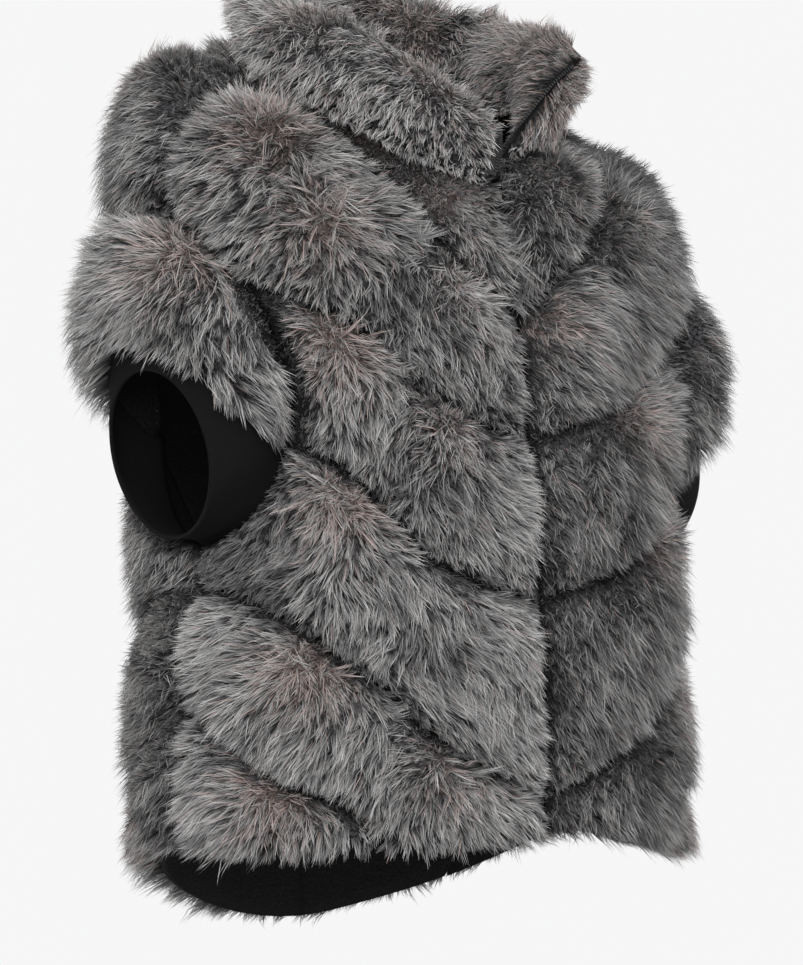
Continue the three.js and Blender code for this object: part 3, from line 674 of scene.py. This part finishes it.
def fur_material():
    material, tree, shader = new_material("fur")
    uv = node(tree, "ShaderNodeUVMap", uv_map="strand")
    split = node(tree, "ShaderNodeSeparateXYZ", {"Vector": uv.outputs["UV"]})
    tone, along = split.outputs["X"], split.outputs["Y"]
    dark = ramp(tree, along, [
        (0.0, (0.008, 0.008, 0.009)), (0.45, (0.016, 0.017, 0.018)), (0.8, (0.03, 0.031, 0.033)),
        (1.0, (0.05, 0.05, 0.05)),
    ])
    light = ramp(tree, along, [
        (0.0, (0.07, 0.069, 0.068)), (0.3, (0.16, 0.158, 0.156)), (0.55, (0.32, 0.316, 0.312)),
        (0.8, (0.54, 0.532, 0.525)), (1.0, (0.6, 0.592, 0.585)),
    ])
    mauve = ramp(tree, along, [
        (0.0, (0.09, 0.062, 0.056)), (0.35, (0.2, 0.148, 0.136)), (0.7, (0.36, 0.285, 0.268)),
        (1.0, (0.62, 0.545, 0.525)),
    ])
    brightness = node(tree, "ShaderNodeMapRange", {"Value": tone, "From Max": 0.75})
    shade = mixed(tree, brightness.outputs["Result"], dark, light)
    is_mauve = node(tree, "ShaderNodeMapRange", {"Value": tone, "From Min": 0.76, "From Max": 0.84})
    colour = mixed(tree, is_mauve.outputs["Result"], shade, mauve)
    tree.links.new(colour, shader.inputs["Base Color"])
    shader.inputs["Roughness"].default_value = 0.52
    shader.inputs["Specular IOR Level"].default_value = 0.35
    return material


def pelt_material():
    material, tree, shader = new_material("pelt")
    place = node(tree, "ShaderNodeTexCoord").outputs["Object"]
    noise = node(tree, "ShaderNodeTexNoise", {"Vector": place, "Scale": 420.0, "Detail": 6.0})
    plain = ramp(tree, noise.outputs["Fac"], [(0.38, grey(0.008)), (0.64, grey(0.085))])
    brown = ramp(tree, noise.outputs["Fac"], [(0.35, (0.035, 0.026, 0.023)), (0.65, (0.17, 0.128, 0.118))])
    uv = node(tree, "ShaderNodeUVMap", uv_map="strand")
    split = node(tree, "ShaderNodeSeparateXYZ", {"Vector": uv.outputs["UV"]})
    # Backing colour, used on the inside faces and, outside, as painted shade
    backing_and_shade = ramp(tree, noise.outputs["Fac"], [(0.3, grey(0.006)), (0.7, grey(0.010))])
    outside = mixed(tree, split.outputs["X"], plain, brown)
    colour = mixed(tree, split.outputs["Y"], outside, backing_and_shade)
    tree.links.new(colour, shader.inputs["Base Color"])
    bump = node(tree, "ShaderNodeBump", {"Height": noise.outputs["Fac"], "Strength": 0.9, "Distance": 0.004})
    tree.links.new(bump.outputs["Normal"], shader.inputs["Normal"])
    shader.inputs["Roughness"].default_value = 0.95
    shader.inputs["Specular IOR Level"].default_value = 0.1
    return material


def jersey_material():
    material, tree, shader = new_material("jersey")
    place = node(tree, "ShaderNodeTexCoord").outputs["UV"]
    rib = node(tree, "ShaderNodeTexWave", {"Vector": place, "Scale": 55.0, "Distortion": 0.3})
    grain = node(tree, "ShaderNodeTexNoise", {"Vector": place, "Scale": 240.0})
    both = node(tree, "ShaderNodeMath", {0: rib.outputs["Fac"], 1: grain.outputs["Fac"]}, operation="ADD")
    bump = node(tree, "ShaderNodeBump", {"Height": both.outputs[0], "Strength": 0.25, "Distance": 0.0006})
    tree.links.new(bump.outputs["Normal"], shader.inputs["Normal"])
    colour = ramp(tree, grain.outputs["Fac"], [(0.3, grey(0.0035)), (0.8, grey(0.007))])
    tree.links.new(colour, shader.inputs["Base Color"])
    shader.inputs["Roughness"].default_value = 0.9
    shader.inputs["Specular IOR Level"].default_value = 0.08
    return material


def plain_material(name, colour, roughness, metallic=0.0):
    material, tree, shader = new_material(name)
    place = node(tree, "ShaderNodeTexCoord").outputs["Object"]
    noise = node(tree, "ShaderNodeTexNoise", {"Vector": place, "Scale": 900.0, "Detail": 3.0})
    shades = ramp(tree, noise.outputs["Fac"], [
        (0.3, tuple(x * 0.75 for x in colour)), (0.7, tuple(min(1.0, x * 1.2) for x in colour)),
    ])
    tree.links.new(shades, shader.inputs["Base Color"])
    bump = node(tree, "ShaderNodeBump", {"Height": noise.outputs["Fac"], "Strength": 0.2, "Distance": 0.0003})
    tree.links.new(bump.outputs["Normal"], shader.inputs["Normal"])
    shader.inputs["Roughness"].default_value = roughness
    shader.inputs["Metallic"].default_value = metallic
    return material


FUR = fur_material()
PELT = pelt_material()
JERSEY_CLOTH = jersey_material()
TAPE = plain_material("zip_tape", (0.012, 0.012, 0.013), 0.85)
METAL = plain_material("zip_metal", (0.05, 0.05, 0.053), 0.42, 1.0)


def make_object(name, points, triangles, material, uv=None, uv_name="strand", smooth_shade=True):
    """A mesh object from arrays: points in millimetres, triangles, and one uv a point."""
    mesh = bpy.data.meshes.new(name)
    points = settle(np.asarray(points, float).reshape(-1, 3)).astype(np.float32) * MM
    triangles = np.asarray(triangles, np.int32).reshape(-1, 3)
    mesh.vertices.add(len(points))
    mesh.vertices.foreach_set("co", points.ravel())
    mesh.loops.add(triangles.size)
    mesh.loops.foreach_set("vertex_index", triangles.ravel())
    mesh.polygons.add(len(triangles))
    mesh.polygons.foreach_set("loop_start", np.arange(0, triangles.size, 3, dtype=np.int32))
    mesh.polygons.foreach_set("use_smooth", np.full(len(triangles), smooth_shade))
    if uv is not None:
        corners = np.asarray(uv, np.float32).reshape(-1, 2)[triangles.ravel()].ravel()
        for layer_name in (uv_name, "OFBake") if uv_name == "strand" else (uv_name,):
            mesh.uv_layers.new(name=layer_name).data.foreach_set("uv", corners)
    mesh.update()
    mesh.materials.append(material)
    made = bpy.data.objects.new(name, mesh)
    bpy.context.scene.collection.objects.link(made)
    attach(made, "vest")
    return made


def grid_triangles(columns, rows, flip, offset=0, closed=False):
    i, j = np.meshgrid(np.arange(columns if closed else columns - 1), np.arange(rows - 1), indexing="ij")
    a = offset + i * rows + j
    b = offset + ((i + 1) % columns) * rows + j
    quads = np.stack([a, b, b + 1, a + 1], axis=-1).reshape(-1, 4)
    if flip:
        quads = quads[:, ::-1]
    return np.concatenate([quads[:, [0, 1, 2]], quads[:, [0, 2, 3]]])


def shell(inner, outer, closed=False):
    """Closed shell between two grids of points."""
    columns, rows = inner.shape[:2]
    count = columns * rows
    faces = [
        grid_triangles(columns, rows, False, count, closed),
        grid_triangles(columns, rows, True, 0, closed),
    ]

    def strip(first, flip):
        a, b = first[:-1], first[1:]
        if closed and len(first) == columns:
            a, b = first, np.roll(first, -1)
        quads = np.stack([a, b, b + count, a + count], axis=-1)
        if flip:
            quads = quads[:, ::-1]
        faces.append(np.concatenate([quads[:, [0, 1, 2]], quads[:, [0, 2, 3]]]))

    i, j = np.arange(columns), np.arange(rows)
    strip(i * rows, False)
    strip(i * rows + rows - 1, True)
    if not closed:
        strip(j, True)
        strip((columns - 1) * rows + j, False)
    points = np.concatenate([inner.reshape(-1, 3), outer.reshape(-1, 3)])
    return points, np.concatenate(faces)


def widen(p, low=SEAM_OVERLAP, others=SEAM_OVERLAP):
    """The grid drawn out at its edges, so that a seam lets no light through."""
    wide = p.copy()
    wide[:, 0] += unit(p[:, 0] - p[:, 1]) * low
    wide[:, -1] += unit(p[:, -1] - p[:, -2]) * others
    wide[0] += unit(p[0] - p[1]) * others
    wide[-1] += unit(p[-1] - p[-2]) * others
    return wide


def grid_area(p):
    a = p[1:, :-1] - p[:-1, :-1]
    b = p[:-1, 1:] - p[:-1, :-1]
    return np.linalg.norm(np.cross(a, b), axis=-1)


def value_noise(p, scale, seed):
    """Smooth noise from 0 to 1 at points, made of a few crossing waves."""
    rng = np.random.default_rng(seed)
    total = np.zeros(p.shape[:-1])
    for k in range(6):
        direction = unit(rng.normal(size=3))
        total += np.sin(p @ direction * (2 * math.pi / (scale * (0.7 + 0.25 * k))) + rng.uniform(0, 6.28))
    return 0.5 + total / 12


def sample(grid, c, r):
    """Bilinear value of a grid at c and r from 0 to 1."""
    columns, rows = grid.shape[:2]
    x, y = c * (columns - 1), r * (rows - 1)
    i, j = np.minimum(x.astype(int), columns - 2), np.minimum(y.astype(int), rows - 2)
    u, v = x - i, y - j
    if grid.ndim == 3:
        u, v = u[:, None], v[:, None]
    return (
        grid[i, j] * (1 - u) * (1 - v) + grid[i + 1, j] * u * (1 - v)
        + grid[i, j + 1] * (1 - u) * v + grid[i + 1, j + 1] * u * v
    )


def whorl_fields(piece, hand, patch):
    """Distance to the nearest whorl and brownness, over a patch's grid."""
    places = WHORLS[piece][0 if hand == "right" else 1]
    centres = sample(patch["p"], np.array([w[0] for w in places]), np.array([w[1] for w in places]))
    distance = np.linalg.norm(patch["p"][:, :, None, :] - centres, axis=-1)
    brown = np.exp(-((distance / MAUVE_REACH) ** 2)) * np.array([w[2] for w in places])
    return distance.min(axis=-1), brown.max(axis=-1)


def side_fold(piece, c, r):
    """Height left, and painted shade, beyond a front strip's side fold and along its crease."""
    if piece not in SIDE_FOLD:
        return np.ones(np.shape(c)), np.ones(np.shape(c))
    first, second, fall, height_left, shade_left = SIDE_FOLD[piece]
    beyond = c - first - second * r
    past = smooth(beyond / fall)
    dip = np.exp(-((beyond / 0.035) ** 2))
    return (1 - (1 - height_left) * past) * (1 - 0.4 * dip), (1 - (1 - shade_left) * past) * (1 - 0.5 * dip)


def scatter(patch, near, count, rng):
    """Random (c, r) places over the patch's surface, closer together at the whorls."""
    crowding = WHORL_CROWDING * np.exp(-((near[:-1, :-1] / WHORL_RADIUS) ** 2))
    area = grid_area(patch["p"]) * (1 + crowding)
    chosen = rng.choice(area.size, size=count, p=area.ravel() / area.sum())
    i, j = np.unravel_index(chosen, area.shape)
    c = (i + rng.uniform(size=count)) / area.shape[0]
    r = (j + rng.uniform(size=count)) / area.shape[1]
    return c, r


def tangential(v, n):
    return v - n * np.sum(v * n, axis=-1, keepdims=True)


def at_hem(piece, c):
    """Where a piece's lower edge is the vest's hem."""
    if piece.endswith("strip_6"):
        return np.ones(np.shape(c), bool)
    return piece.endswith("strip_5") & (np.asarray(c) < SMALL_STRIP_START)


def edge_limits(piece, patch, c, r, p, n):
    """Each edge of a piece: the way to it, how far off it is and how far hair may pass it."""
    reach = dict(OPEN_EDGE, **REACH.get(piece, {}))
    zero, one = np.zeros(len(c)), np.ones(len(c))
    limits = {}
    for edge, (ec, er) in {"low": (c, zero), "high": (c, one), "start": (zero, r), "end": (one, r)}.items():
        v = tangential(sample(patch["p"], ec, er) - p, n)
        d = np.linalg.norm(v, axis=-1)
        limits[edge] = (v / np.maximum(d, 0.5)[:, None], d, reach[edge])
    way, d, over = limits["low"]
    limits["low"] = (way, d, np.where(at_hem(piece, c), HEM_REACH, over))
    return limits


def fur_strands(piece, hand, patch, seed):
    """Hair of one piece: clumps over its patch, each of long and short hairs."""
    rng = np.random.default_rng(seed)
    whorls = WHORLS[piece][0 if hand == "right" else 1]
    area = grid_area(patch["p"]).sum() / 100
    clumps = max(20, int(area * CLUMPS_PER_CM2))
    whorl_near, whorl_brown = whorl_fields(piece, hand, patch)
    c, r = scatter(patch, whorl_near, clumps, rng)
    p = sample(patch["p"], c, r)
    n = unit(sample(patch["n"], c, r))
    limits = edge_limits(piece, patch, c, r, p, n)
    high = sample(patch["h"], c, r)
    for edge, (_, d, _) in limits.items():
        if edge in DEEP_EDGE.get(piece, ()):
            high = high * (1 - DEEP_VALLEY * np.exp(-d / DEEP_VALLEY_WIDTH))
        elif edge not in FREE_EDGE.get(piece, ()):
            sewn = ~at_hem(piece, c) if edge == "low" else 1.0
            high = high * (1 - VALLEY * sewn * np.exp(-d / VALLEY_WIDTH))
    fold_height, fold_shade = side_fold(piece, c, r)
    high = high * fold_height
    centres = sample(patch["p"], np.array([w[0] for w in whorls]), np.array([w[1] for w in whorls]))
    away = p[:, None, :] - centres[None]
    distance = np.linalg.norm(away, axis=-1)
    near = distance.min(axis=1)
    pull = np.exp(-((distance - near[:, None]) / 40) ** 2)
    radial = unit(tangential((unit(away) * pull[..., None]).sum(axis=1), n))
    down = unit(tangential(np.tile([0.0, 0.0, -1.0], (clumps, 1)), n))
    stray = unit(tangential(rng.normal(size=(clumps, 3)), n))
    loose = np.exp(-((near / LOOSE_RADIUS) ** 2))[:, None]
    flow = radial * (1 - 0.7 * loose) + stray * 0.9 * loose
    flow = flow + down * (0.5 + 0.45 * smooth(near / 90))[:, None]
    for edge, (way, d, _) in limits.items():
        pull = 1.6 * np.exp(-d / 18) if (piece, edge) == ("strip_1", "start") else 0.5 * np.exp(-d / 9)
        flow = flow + way * pull[:, None]
    swirl = (value_noise(p, 55, seed + 7) - 0.5) * 1.8 + (value_noise(p, 20, seed + 17) - 0.5) * 1.5
    swirl = swirl * (0.5 if piece.startswith("collar") else 1.0) + rng.normal(0, 0.2, clumps)
    flow = unit(tangential(flow, n))
    side = np.cross(n, flow)
    flow = unit(flow * np.cos(swirl)[:, None] + side * np.sin(swirl)[:, None])
    side = np.cross(n, flow)
    most = COLLAR_LEAN_MAX if piece.startswith("collar") else LEAN_MAX
    centre = loose[:, 0]
    lean = LEAN_MIN + (most - LEAN_MIN) * smooth(near / LEAN_REACH) + rng.normal(0, 6, clumps)
    lean = np.radians(lean + centre * np.abs(rng.normal(0, 30, clumps)))
    base = np.minimum(sample(patch["pelt"], c, r) * 0.75, high * 0.6)
    rise = (high - base) * rng.uniform(0.84, 1.06, clumps) * (1 - 0.4 * centre * rng.uniform(size=clumps))
    guess = rise / np.cos(lean) * np.sin(lean)
    ease = np.ones(clumps)
    for way, d, over in limits.values():
        toward_edge = np.maximum(np.sum(flow * way, axis=-1), 0) * guess
        ease = np.minimum(ease, (d + over) / np.maximum(toward_edge, 1e-3))
    lean = np.clip(lean * np.clip(ease, 0.1, 1), 0.06, 1.25)
    over_zip = np.zeros(clumps)
    if piece == "strip_1":
        over_zip = np.exp(-((limits["start"][1] / ZIP_HAIR_REACH) ** 2))
    lean = lean * (1 - over_zip) + ZIP_HAIR_LEAN * over_zip
    first, second = lean * 0.6, np.minimum(lean * 1.3, 1.35)
    length = np.clip(2 * rise / (np.cos(first) + np.cos(second)), SHORTEST_HAIR, LONGEST_HAIR)
    length = np.maximum(length, ZIP_HAIR * over_zip * rng.uniform(0.6, 1.1, clumps))
    root = p + n * base[:, None]
    middle = root + (n * np.cos(first)[:, None] + flow * np.sin(first)[:, None]) * (length / 2)[:, None]
    tip = middle + (n * np.cos(second)[:, None] + flow * np.sin(second)[:, None]) * (length / 2)[:, None]
    tone = TONE_MEAN + TONE_PATCH * (value_noise(p, 30, seed + 3) - 0.5) + rng.normal(0, TONE_CLUMP, clumps)
    tone = tone + 0.12 * (value_noise(p, 90, seed + 11) - 0.5) + 0.32 * (value_noise(p, 13, seed + 13) - 0.5)
    # Painted shade: hair darkened near the seams, the zip and the armhole, where the seam valleys lie in
    # shade, and under the collar roll; hem hair keeps its light tips
    shade_width = YOKE_SHADE_WIDTH if (piece, hand) == ("strip_1", "right") else SEAM_SHADE_WIDTH
    painted_seam_shade = 0.15 + 0.85 * smooth(limits["high"][1] / shade_width)
    painted_seam_shade = painted_seam_shade * np.where(at_hem(piece, c), 1.0, 0.5 + 0.5 * smooth(limits["low"][1] / 5))
    painted_seam_shade = painted_seam_shade * (0.55 + 0.45 * smooth(limits["start"][1] / 8))
    painted_seam_shade = painted_seam_shade * (0.4 + 0.6 * smooth(limits["end"][1] / 10))
    if piece in ("cap_sleeve", "collar_outer", "collar_inner"):
        painted_seam_shade = 0.45 + 0.55 * smooth(limits["low"][1] / 12)
    # Painted shade at the seams, and painted light and shade for each piece
    tone = tone * painted_seam_shade * PAINTED_LIGHT_SCALE.get((piece, hand), 1.0)
    # Painted shade beyond the side fold
    tone = tone * fold_shade
    # Dark spots, partly the coat's own and partly painted shade
    for spot_piece, spot_hand, spot_c, spot_r, radius, left in DARK_SPOTS_AND_SHADE:
        if (spot_piece, spot_hand) == (piece, hand):
            middle_point = sample(patch["p"], np.array([spot_c]), np.array([spot_r]))
            distance_off = np.linalg.norm(p - middle_point, axis=-1)
            tone = tone * (1 - (1 - left) * np.exp(-((distance_off / radius) ** 2)))
    mauve = sample(whorl_brown, c, r) * (0.45 + 0.55 * value_noise(p, 15, seed + 5))
    mauve = np.maximum(mauve, BROWNER.get((piece, hand), 0.04) * value_noise(p, 40, seed + 9) * 1.6)

    def strands(each, width, low, high_share, curved, spread):
        count = clumps * each
        k = np.repeat(np.arange(clumps), each)
        a, b = rng.uniform(0, 2 * math.pi, count), np.sqrt(rng.uniform(0, 1, count)) * CLUMP_RADIUS
        offset = flow[k] * (np.cos(a) * b)[:, None] + side[k] * (np.sin(a) * b)[:, None]
        share = rng.uniform(low, high_share, count)[:, None]
        start = root[k] + offset
        mid = middle[k] + offset * (0.5 + spread * 0.6) + rng.normal(0, 0.7, (count, 3))
        end = tip[k] + offset * spread + rng.normal(0, TIP_JITTER, (count, 3))
        end = start + (end - start) * share
        mid = start + (mid - start) * share
        turn = rng.normal(0, 0.6, count)
        along = unit(end - start)
        flat = unit(np.cross(along, n[k] + rng.normal(0, 0.15, (count, 3))))
        upward = np.cross(flat, along)
        across = flat * np.cos(turn)[:, None] + upward * np.sin(turn)[:, None]
        wide = (width * rng.uniform(0.75, 1.25, count))[:, None]
        shade = np.clip(tone[k] + rng.normal(0, TONE_STRAND, count), 0.0, 0.74)
        is_mauve = (rng.uniform(size=count) < mauve[k] * 0.9) & (tone[k] > 0.2)
        shade = np.where(is_mauve, 0.8 + 0.19 * rng.uniform(size=count), shade)
        base_index = np.arange(count)
        if curved:
            points = np.stack([
                start - across * wide / 2, start + across * wide / 2,
                mid - across * wide * 0.42, mid + across * wide * 0.42, end,
            ], axis=1)
            v = np.array([0.0, 0.0, 0.5, 0.5, 1.0])
            b5 = base_index[:, None] * 5
            faces = np.concatenate([b5 + [0, 1, 3], b5 + [0, 3, 2], b5 + [2, 3, 4]])
        else:
            points = np.stack([start - across * wide / 2, start + across * wide / 2, end], axis=1)
            v = np.array([0.0, 0.0, 1.0])
            faces = base_index[:, None] * 3 + [0, 1, 2]
        uv = np.stack([np.repeat(shade[:, None], len(v), axis=1), np.tile(v, (count, 1))], axis=-1)
        return points.reshape(-1, 3), faces, uv.reshape(-1, 2)

    guard_points, guard_faces, guard_uv = strands(GUARDS_PER_CLUMP, GUARD_WIDTH, 0.82, 1.1, True, 0.3)
    fill_points, fill_faces, fill_uv = strands(FILLS_PER_CLUMP, FILL_WIDTH, 0.6, 1.0, False, 0.5)
    return make_object(
        "fur_" + piece + "_" + hand,
        np.concatenate([guard_points, fill_points]),
        np.concatenate([guard_faces, fill_faces + len(guard_points)]),
        FUR,
        np.concatenate([guard_uv, fill_uv]),
    )


triangle_count = 0
for index, (piece, hand, patch) in enumerate(patches):
    p, n, high = patch["p"], patch["n"], patch["h"]
    name = piece + "_" + hand
    bumps = value_noise(p, 18, index) * 4 - 2
    c, r = unit_grid(*high.shape)
    limits = edge_limits(piece, patch, c.ravel(), r.ravel(), p.reshape(-1, 3), n.reshape(-1, 3))
    edge_distance = np.min([d for _, d, _ in limits.values()], axis=0).reshape(high.shape)
    fold_height, fold_shade = side_fold(piece, c, r)
    rounded = (0.2 + 0.8 * smooth(edge_distance / 15)) * fold_height
    patch["pelt"] = np.maximum(np.minimum(high * PELT_SHARE + bumps, high * 0.8) * rounded, 0.8)
    wide = widen(p, ARMHOLE_OVERLAP if piece == "cap_sleeve" else SEAM_OVERLAP)
    points, faces = shell(wide + n * 0.15, wide + n * patch["pelt"][..., None])
    inside_out = np.sum(np.cross(p[1, 0] - p[0, 0], p[0, 1] - p[0, 0]) * n[0, 0]) < 0
    if inside_out:
        faces = faces[:, ::-1]
    brown = whorl_fields(piece, hand, patch)[1].ravel()
    inside = np.stack([np.zeros(len(brown)), np.ones(len(brown))], axis=-1)
    # Painted shade: the pelt darkened to its backing colour near its edges, in the seam valleys, and beyond a
    # side fold
    pelt_shade = np.maximum(np.exp(-((edge_distance / 8) ** 2)), 1 - fold_shade).ravel()
    outside = np.stack([brown, pelt_shade], axis=-1)
    pelt = make_object("pelt_" + name, points, faces, PELT, np.concatenate([inside, outside]))
    fur = fur_strands(piece, hand, patch, 100 + index)
    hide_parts(name)
    triangle_count += len(faces) + len(fur.data.polygons)

# Jersey insets
INSET_COLUMNS = 72
INSET_ROWS = 15
turns = np.linspace(0, 360, INSET_COLUMNS + 1)[:-1]
for hand in ("left", "right"):
    wrapped = np.abs((turns + 180) % 360 - 180)
    start = np.where(wrapped <= CAP_END, cap_reach(turns) + 0.02, 0.0)
    w = start[:, None] + (1 - start[:, None]) * np.linspace(0, 1, INSET_ROWS)[None]
    turn = np.repeat(turns[:, None], INSET_ROWS, axis=1)
    p, n = sleeve_wall(turn, w), sleeve_normal(turn, w)
    if hand == "right":
        p, n = p * [-1, 1, 1], n * [-1, 1, 1]
    fold = np.where(w > 0.93, 0.5, 0.0)
    wide = p.copy()
    wide[:, 0] += unit(p[:, 0] - p[:, 1]) * INSET_OVERLAP
    points, faces = shell(wide + n * 0.1, wide + n * (JERSEY - 0.2 + fold)[..., None], closed=True)
    if hand == "left":
        faces = faces[:, ::-1]
    uv = np.stack([turn / 360, w], axis=-1).reshape(-1, 2)
    inset = make_object("jersey_" + hand, points, faces, JERSEY_CLOTH, np.concatenate([uv, uv]), "cloth")
    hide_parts("underarm_inset_" + hand)

# Zip parts that stay as the solids made them
ZIP_LOOKS = {
    "zip_tape_left": TAPE, "zip_tape_right": TAPE,
    "zip_slider": METAL, "zip_pull": METAL, "zip_box": METAL,
}
for name, look in ZIP_LOOKS.items():
    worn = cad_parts[name].data.materials
    worn.clear()
    worn.append(look)

# Zip teeth: closed down the front, open along both edges of the collar
TEETH_LOW, TEETH_HIGH = 0.062, 2.785
TOOTH_PITCH = 2.6
TOOTH_SIZE = (3.4, 1.5, 2.3)
TOOTH_SHIFT = 0.8
TOOTH_LIFT = 1.25


def blocks(centre, across, along, out):
    """Small boxes at centres, from their half axes."""
    signs = np.array([[i, j, k] for k in (-1, 1) for j in (-1, 1) for i in (-1, 1)])
    axes = np.stack([across, along, out], axis=1)
    points = centre[:, None, :] + np.einsum("vk,nkx->nvx", signs, axes)
    sides = [[0, 2, 3, 1], [4, 5, 7, 6], [0, 1, 5, 4], [2, 6, 7, 3], [0, 4, 6, 2], [1, 3, 7, 5]]
    faces = np.array([t for a, b, c, d in sides for t in ([a, b, c], [a, c, d])])
    return points.reshape(-1, 3), (np.arange(len(centre))[:, None, None] * 8 + faces).reshape(-1, 3)


def on_line(at, run, points):
    return np.stack([np.interp(at, run, points[:, k]) for k in range(3)], axis=-1)


def even_path(points, pitch):
    """Places at an even pitch along a line of points, with the way along it."""
    steps = np.linalg.norm(np.diff(points, axis=0), axis=-1)
    run = np.concatenate([[0], np.cumsum(steps)])
    at = np.arange(pitch / 2, run[-1], pitch)
    return on_line(at, run, points), unit(on_line(at + 1, run, points) - on_line(at - 1, run, points))


def teeth(name, places, along, across, shift):
    out = unit(np.cross(across, along))
    half = np.array(TOOTH_SIZE) / 2
    centre = places + across * shift[:, None]
    points, faces = blocks(centre, across * half[0], along * half[1], out * half[2])
    made = make_object(name, points, faces, METAL, smooth_shade=False)
    return made


levels = np.linspace(TEETH_LOW, TEETH_HIGH, 240)
chain_line = wall(0.0, levels) + wall_normal(0.0, levels) * TOOTH_LIFT
places, along = even_path(chain_line, TOOTH_PITCH / 2)
sides = np.where(np.arange(len(places)) % 2 == 0, TOOTH_SHIFT, -TOOTH_SHIFT)
chain = teeth("zip_teeth", places, along, np.tile([1.0, 0.0, 0.0], (len(places), 1)), sides)
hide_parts("zip_chain")

s_line = np.linspace(0.05, 0.93, 60)
for hand in ("left", "right"):
    edge = collar_angle(hand, start_angle("front", NECK_LEVEL), s_line)
    per_degree = np.linalg.norm(wall(edge + 1, NECK_LEVEL) - wall(edge, NECK_LEVEL), axis=-1)
    reach = np.minimum(5.5, (edge - 0.2) * per_degree * 0.8)
    free = collar_point(hand, edge - reach / per_degree, s_line, 0.0)[0]
    tape = collar_point(hand, edge, s_line, 0.0)[0]
    if hand == "right":
        free, tape = free * [-1, 1, 1], tape * [-1, 1, 1]
    places, along = even_path(free, TOOTH_PITCH)
    inward = unit(on_line(np.linspace(0, 1, len(places)), np.linspace(0, 1, len(s_line)), tape - free))
    inward = unit(inward - along * np.sum(inward * along, axis=-1, keepdims=True))
    teeth("zip_teeth_open_" + hand, places, along, inward, np.full(len(places), 0.6))

# Camera: where the photograph was taken from, looking a little down
CAMERA_AZIMUTH = -37.0
CAMERA_DISTANCE = 3.2
CAMERA_HEIGHT = -0.2
PIXELS_PER_MM = 1.3
FRAME_WIDTH, FRAME_HEIGHT = 803, 965
AXIS_X, AXIS_Y = 410.0, 365.0

azimuth = math.radians(CAMERA_AZIMUTH)
toward = np.array([math.sin(azimuth), -math.cos(azimuth), 0.0])
right = np.array([math.cos(azimuth), math.sin(azimuth), 0.0])
eye = toward * CAMERA_DISTANCE + [0, 0, CAMERA_HEIGHT]
aim = right * (FRAME_WIDTH / 2 - AXIS_X) / PIXELS_PER_MM * MM
aim = aim + [0, 0, CAMERA_HEIGHT - (FRAME_HEIGHT / 2 - AXIS_Y) / PIXELS_PER_MM * MM]
camera_data = bpy.data.cameras.new("camera")
camera = bpy.data.objects.new("camera", camera_data)
bpy.context.scene.collection.objects.link(camera)
camera_data.sensor_width = 36
camera_data.lens = PIXELS_PER_MM * CAMERA_DISTANCE * 1000 / FRAME_HEIGHT * 36
camera_data.clip_end = 20
camera.location = Vector(eye)
camera.rotation_euler = (Vector(aim) - Vector(eye)).to_track_quat("-Z", "Y").to_euler()
bpy.context.scene.camera = camera


def area_light(name, place, target, side, power):
    data = bpy.data.lights.new(name, "AREA")
    data.shape = "RECTANGLE"
    data.size = data.size_y = side
    data.energy = power
    made = bpy.data.objects.new(name, data)
    made.location = place
    made.rotation_euler = (Vector(target) - Vector(place)).to_track_quat("-Z", "Y").to_euler()
    bpy.context.scene.collection.objects.link(made)


# Floor where the wearer stands, out of the photograph's frame
FLOOR_HEIGHT = -1.42
FLOOR_RADIUS = 3.0
FLOOR_COLOUR = (0.68, 0.68, 0.68)
bpy.ops.mesh.primitive_circle_add(
    vertices=96, radius=FLOOR_RADIUS, fill_type="NGON", location=(0, 0, FLOOR_HEIGHT))
floor = bpy.context.object
floor.name = "floor"
floor.data.materials.append(plain_material("floor", FLOOR_COLOUR, 0.9))

LIGHTS = [
    # name, place, height it is aimed at and side, in metres, and watts
    ("key", (-2.0, -2.5, 0.7), -0.3, 1.4, 75),
    ("fill", (1.4, -2.9, 0.2), -0.3, 1.8, 8),
    ("rim", (0.8, 2.4, 1.2), -0.2, 1.5, 12),
]
for name, place, height, side, power in LIGHTS:
    area_light(name, place, (0, 0, height), side, power)

world = bpy.data.worlds.new("studio")
bpy.context.scene.world = world
world.use_nodes = True
background = world.node_tree.nodes["Background"]
background.inputs["Color"].default_value = (0.925, 0.925, 0.93, 1)
background.inputs["Strength"].default_value = 1.0
bpy.context.scene.view_settings.view_transform = "Standard"
bpy.context.scene.cycles.max_bounces = 6
bpy.context.scene.cycles.use_denoising = True

print("added triangles", triangle_count)
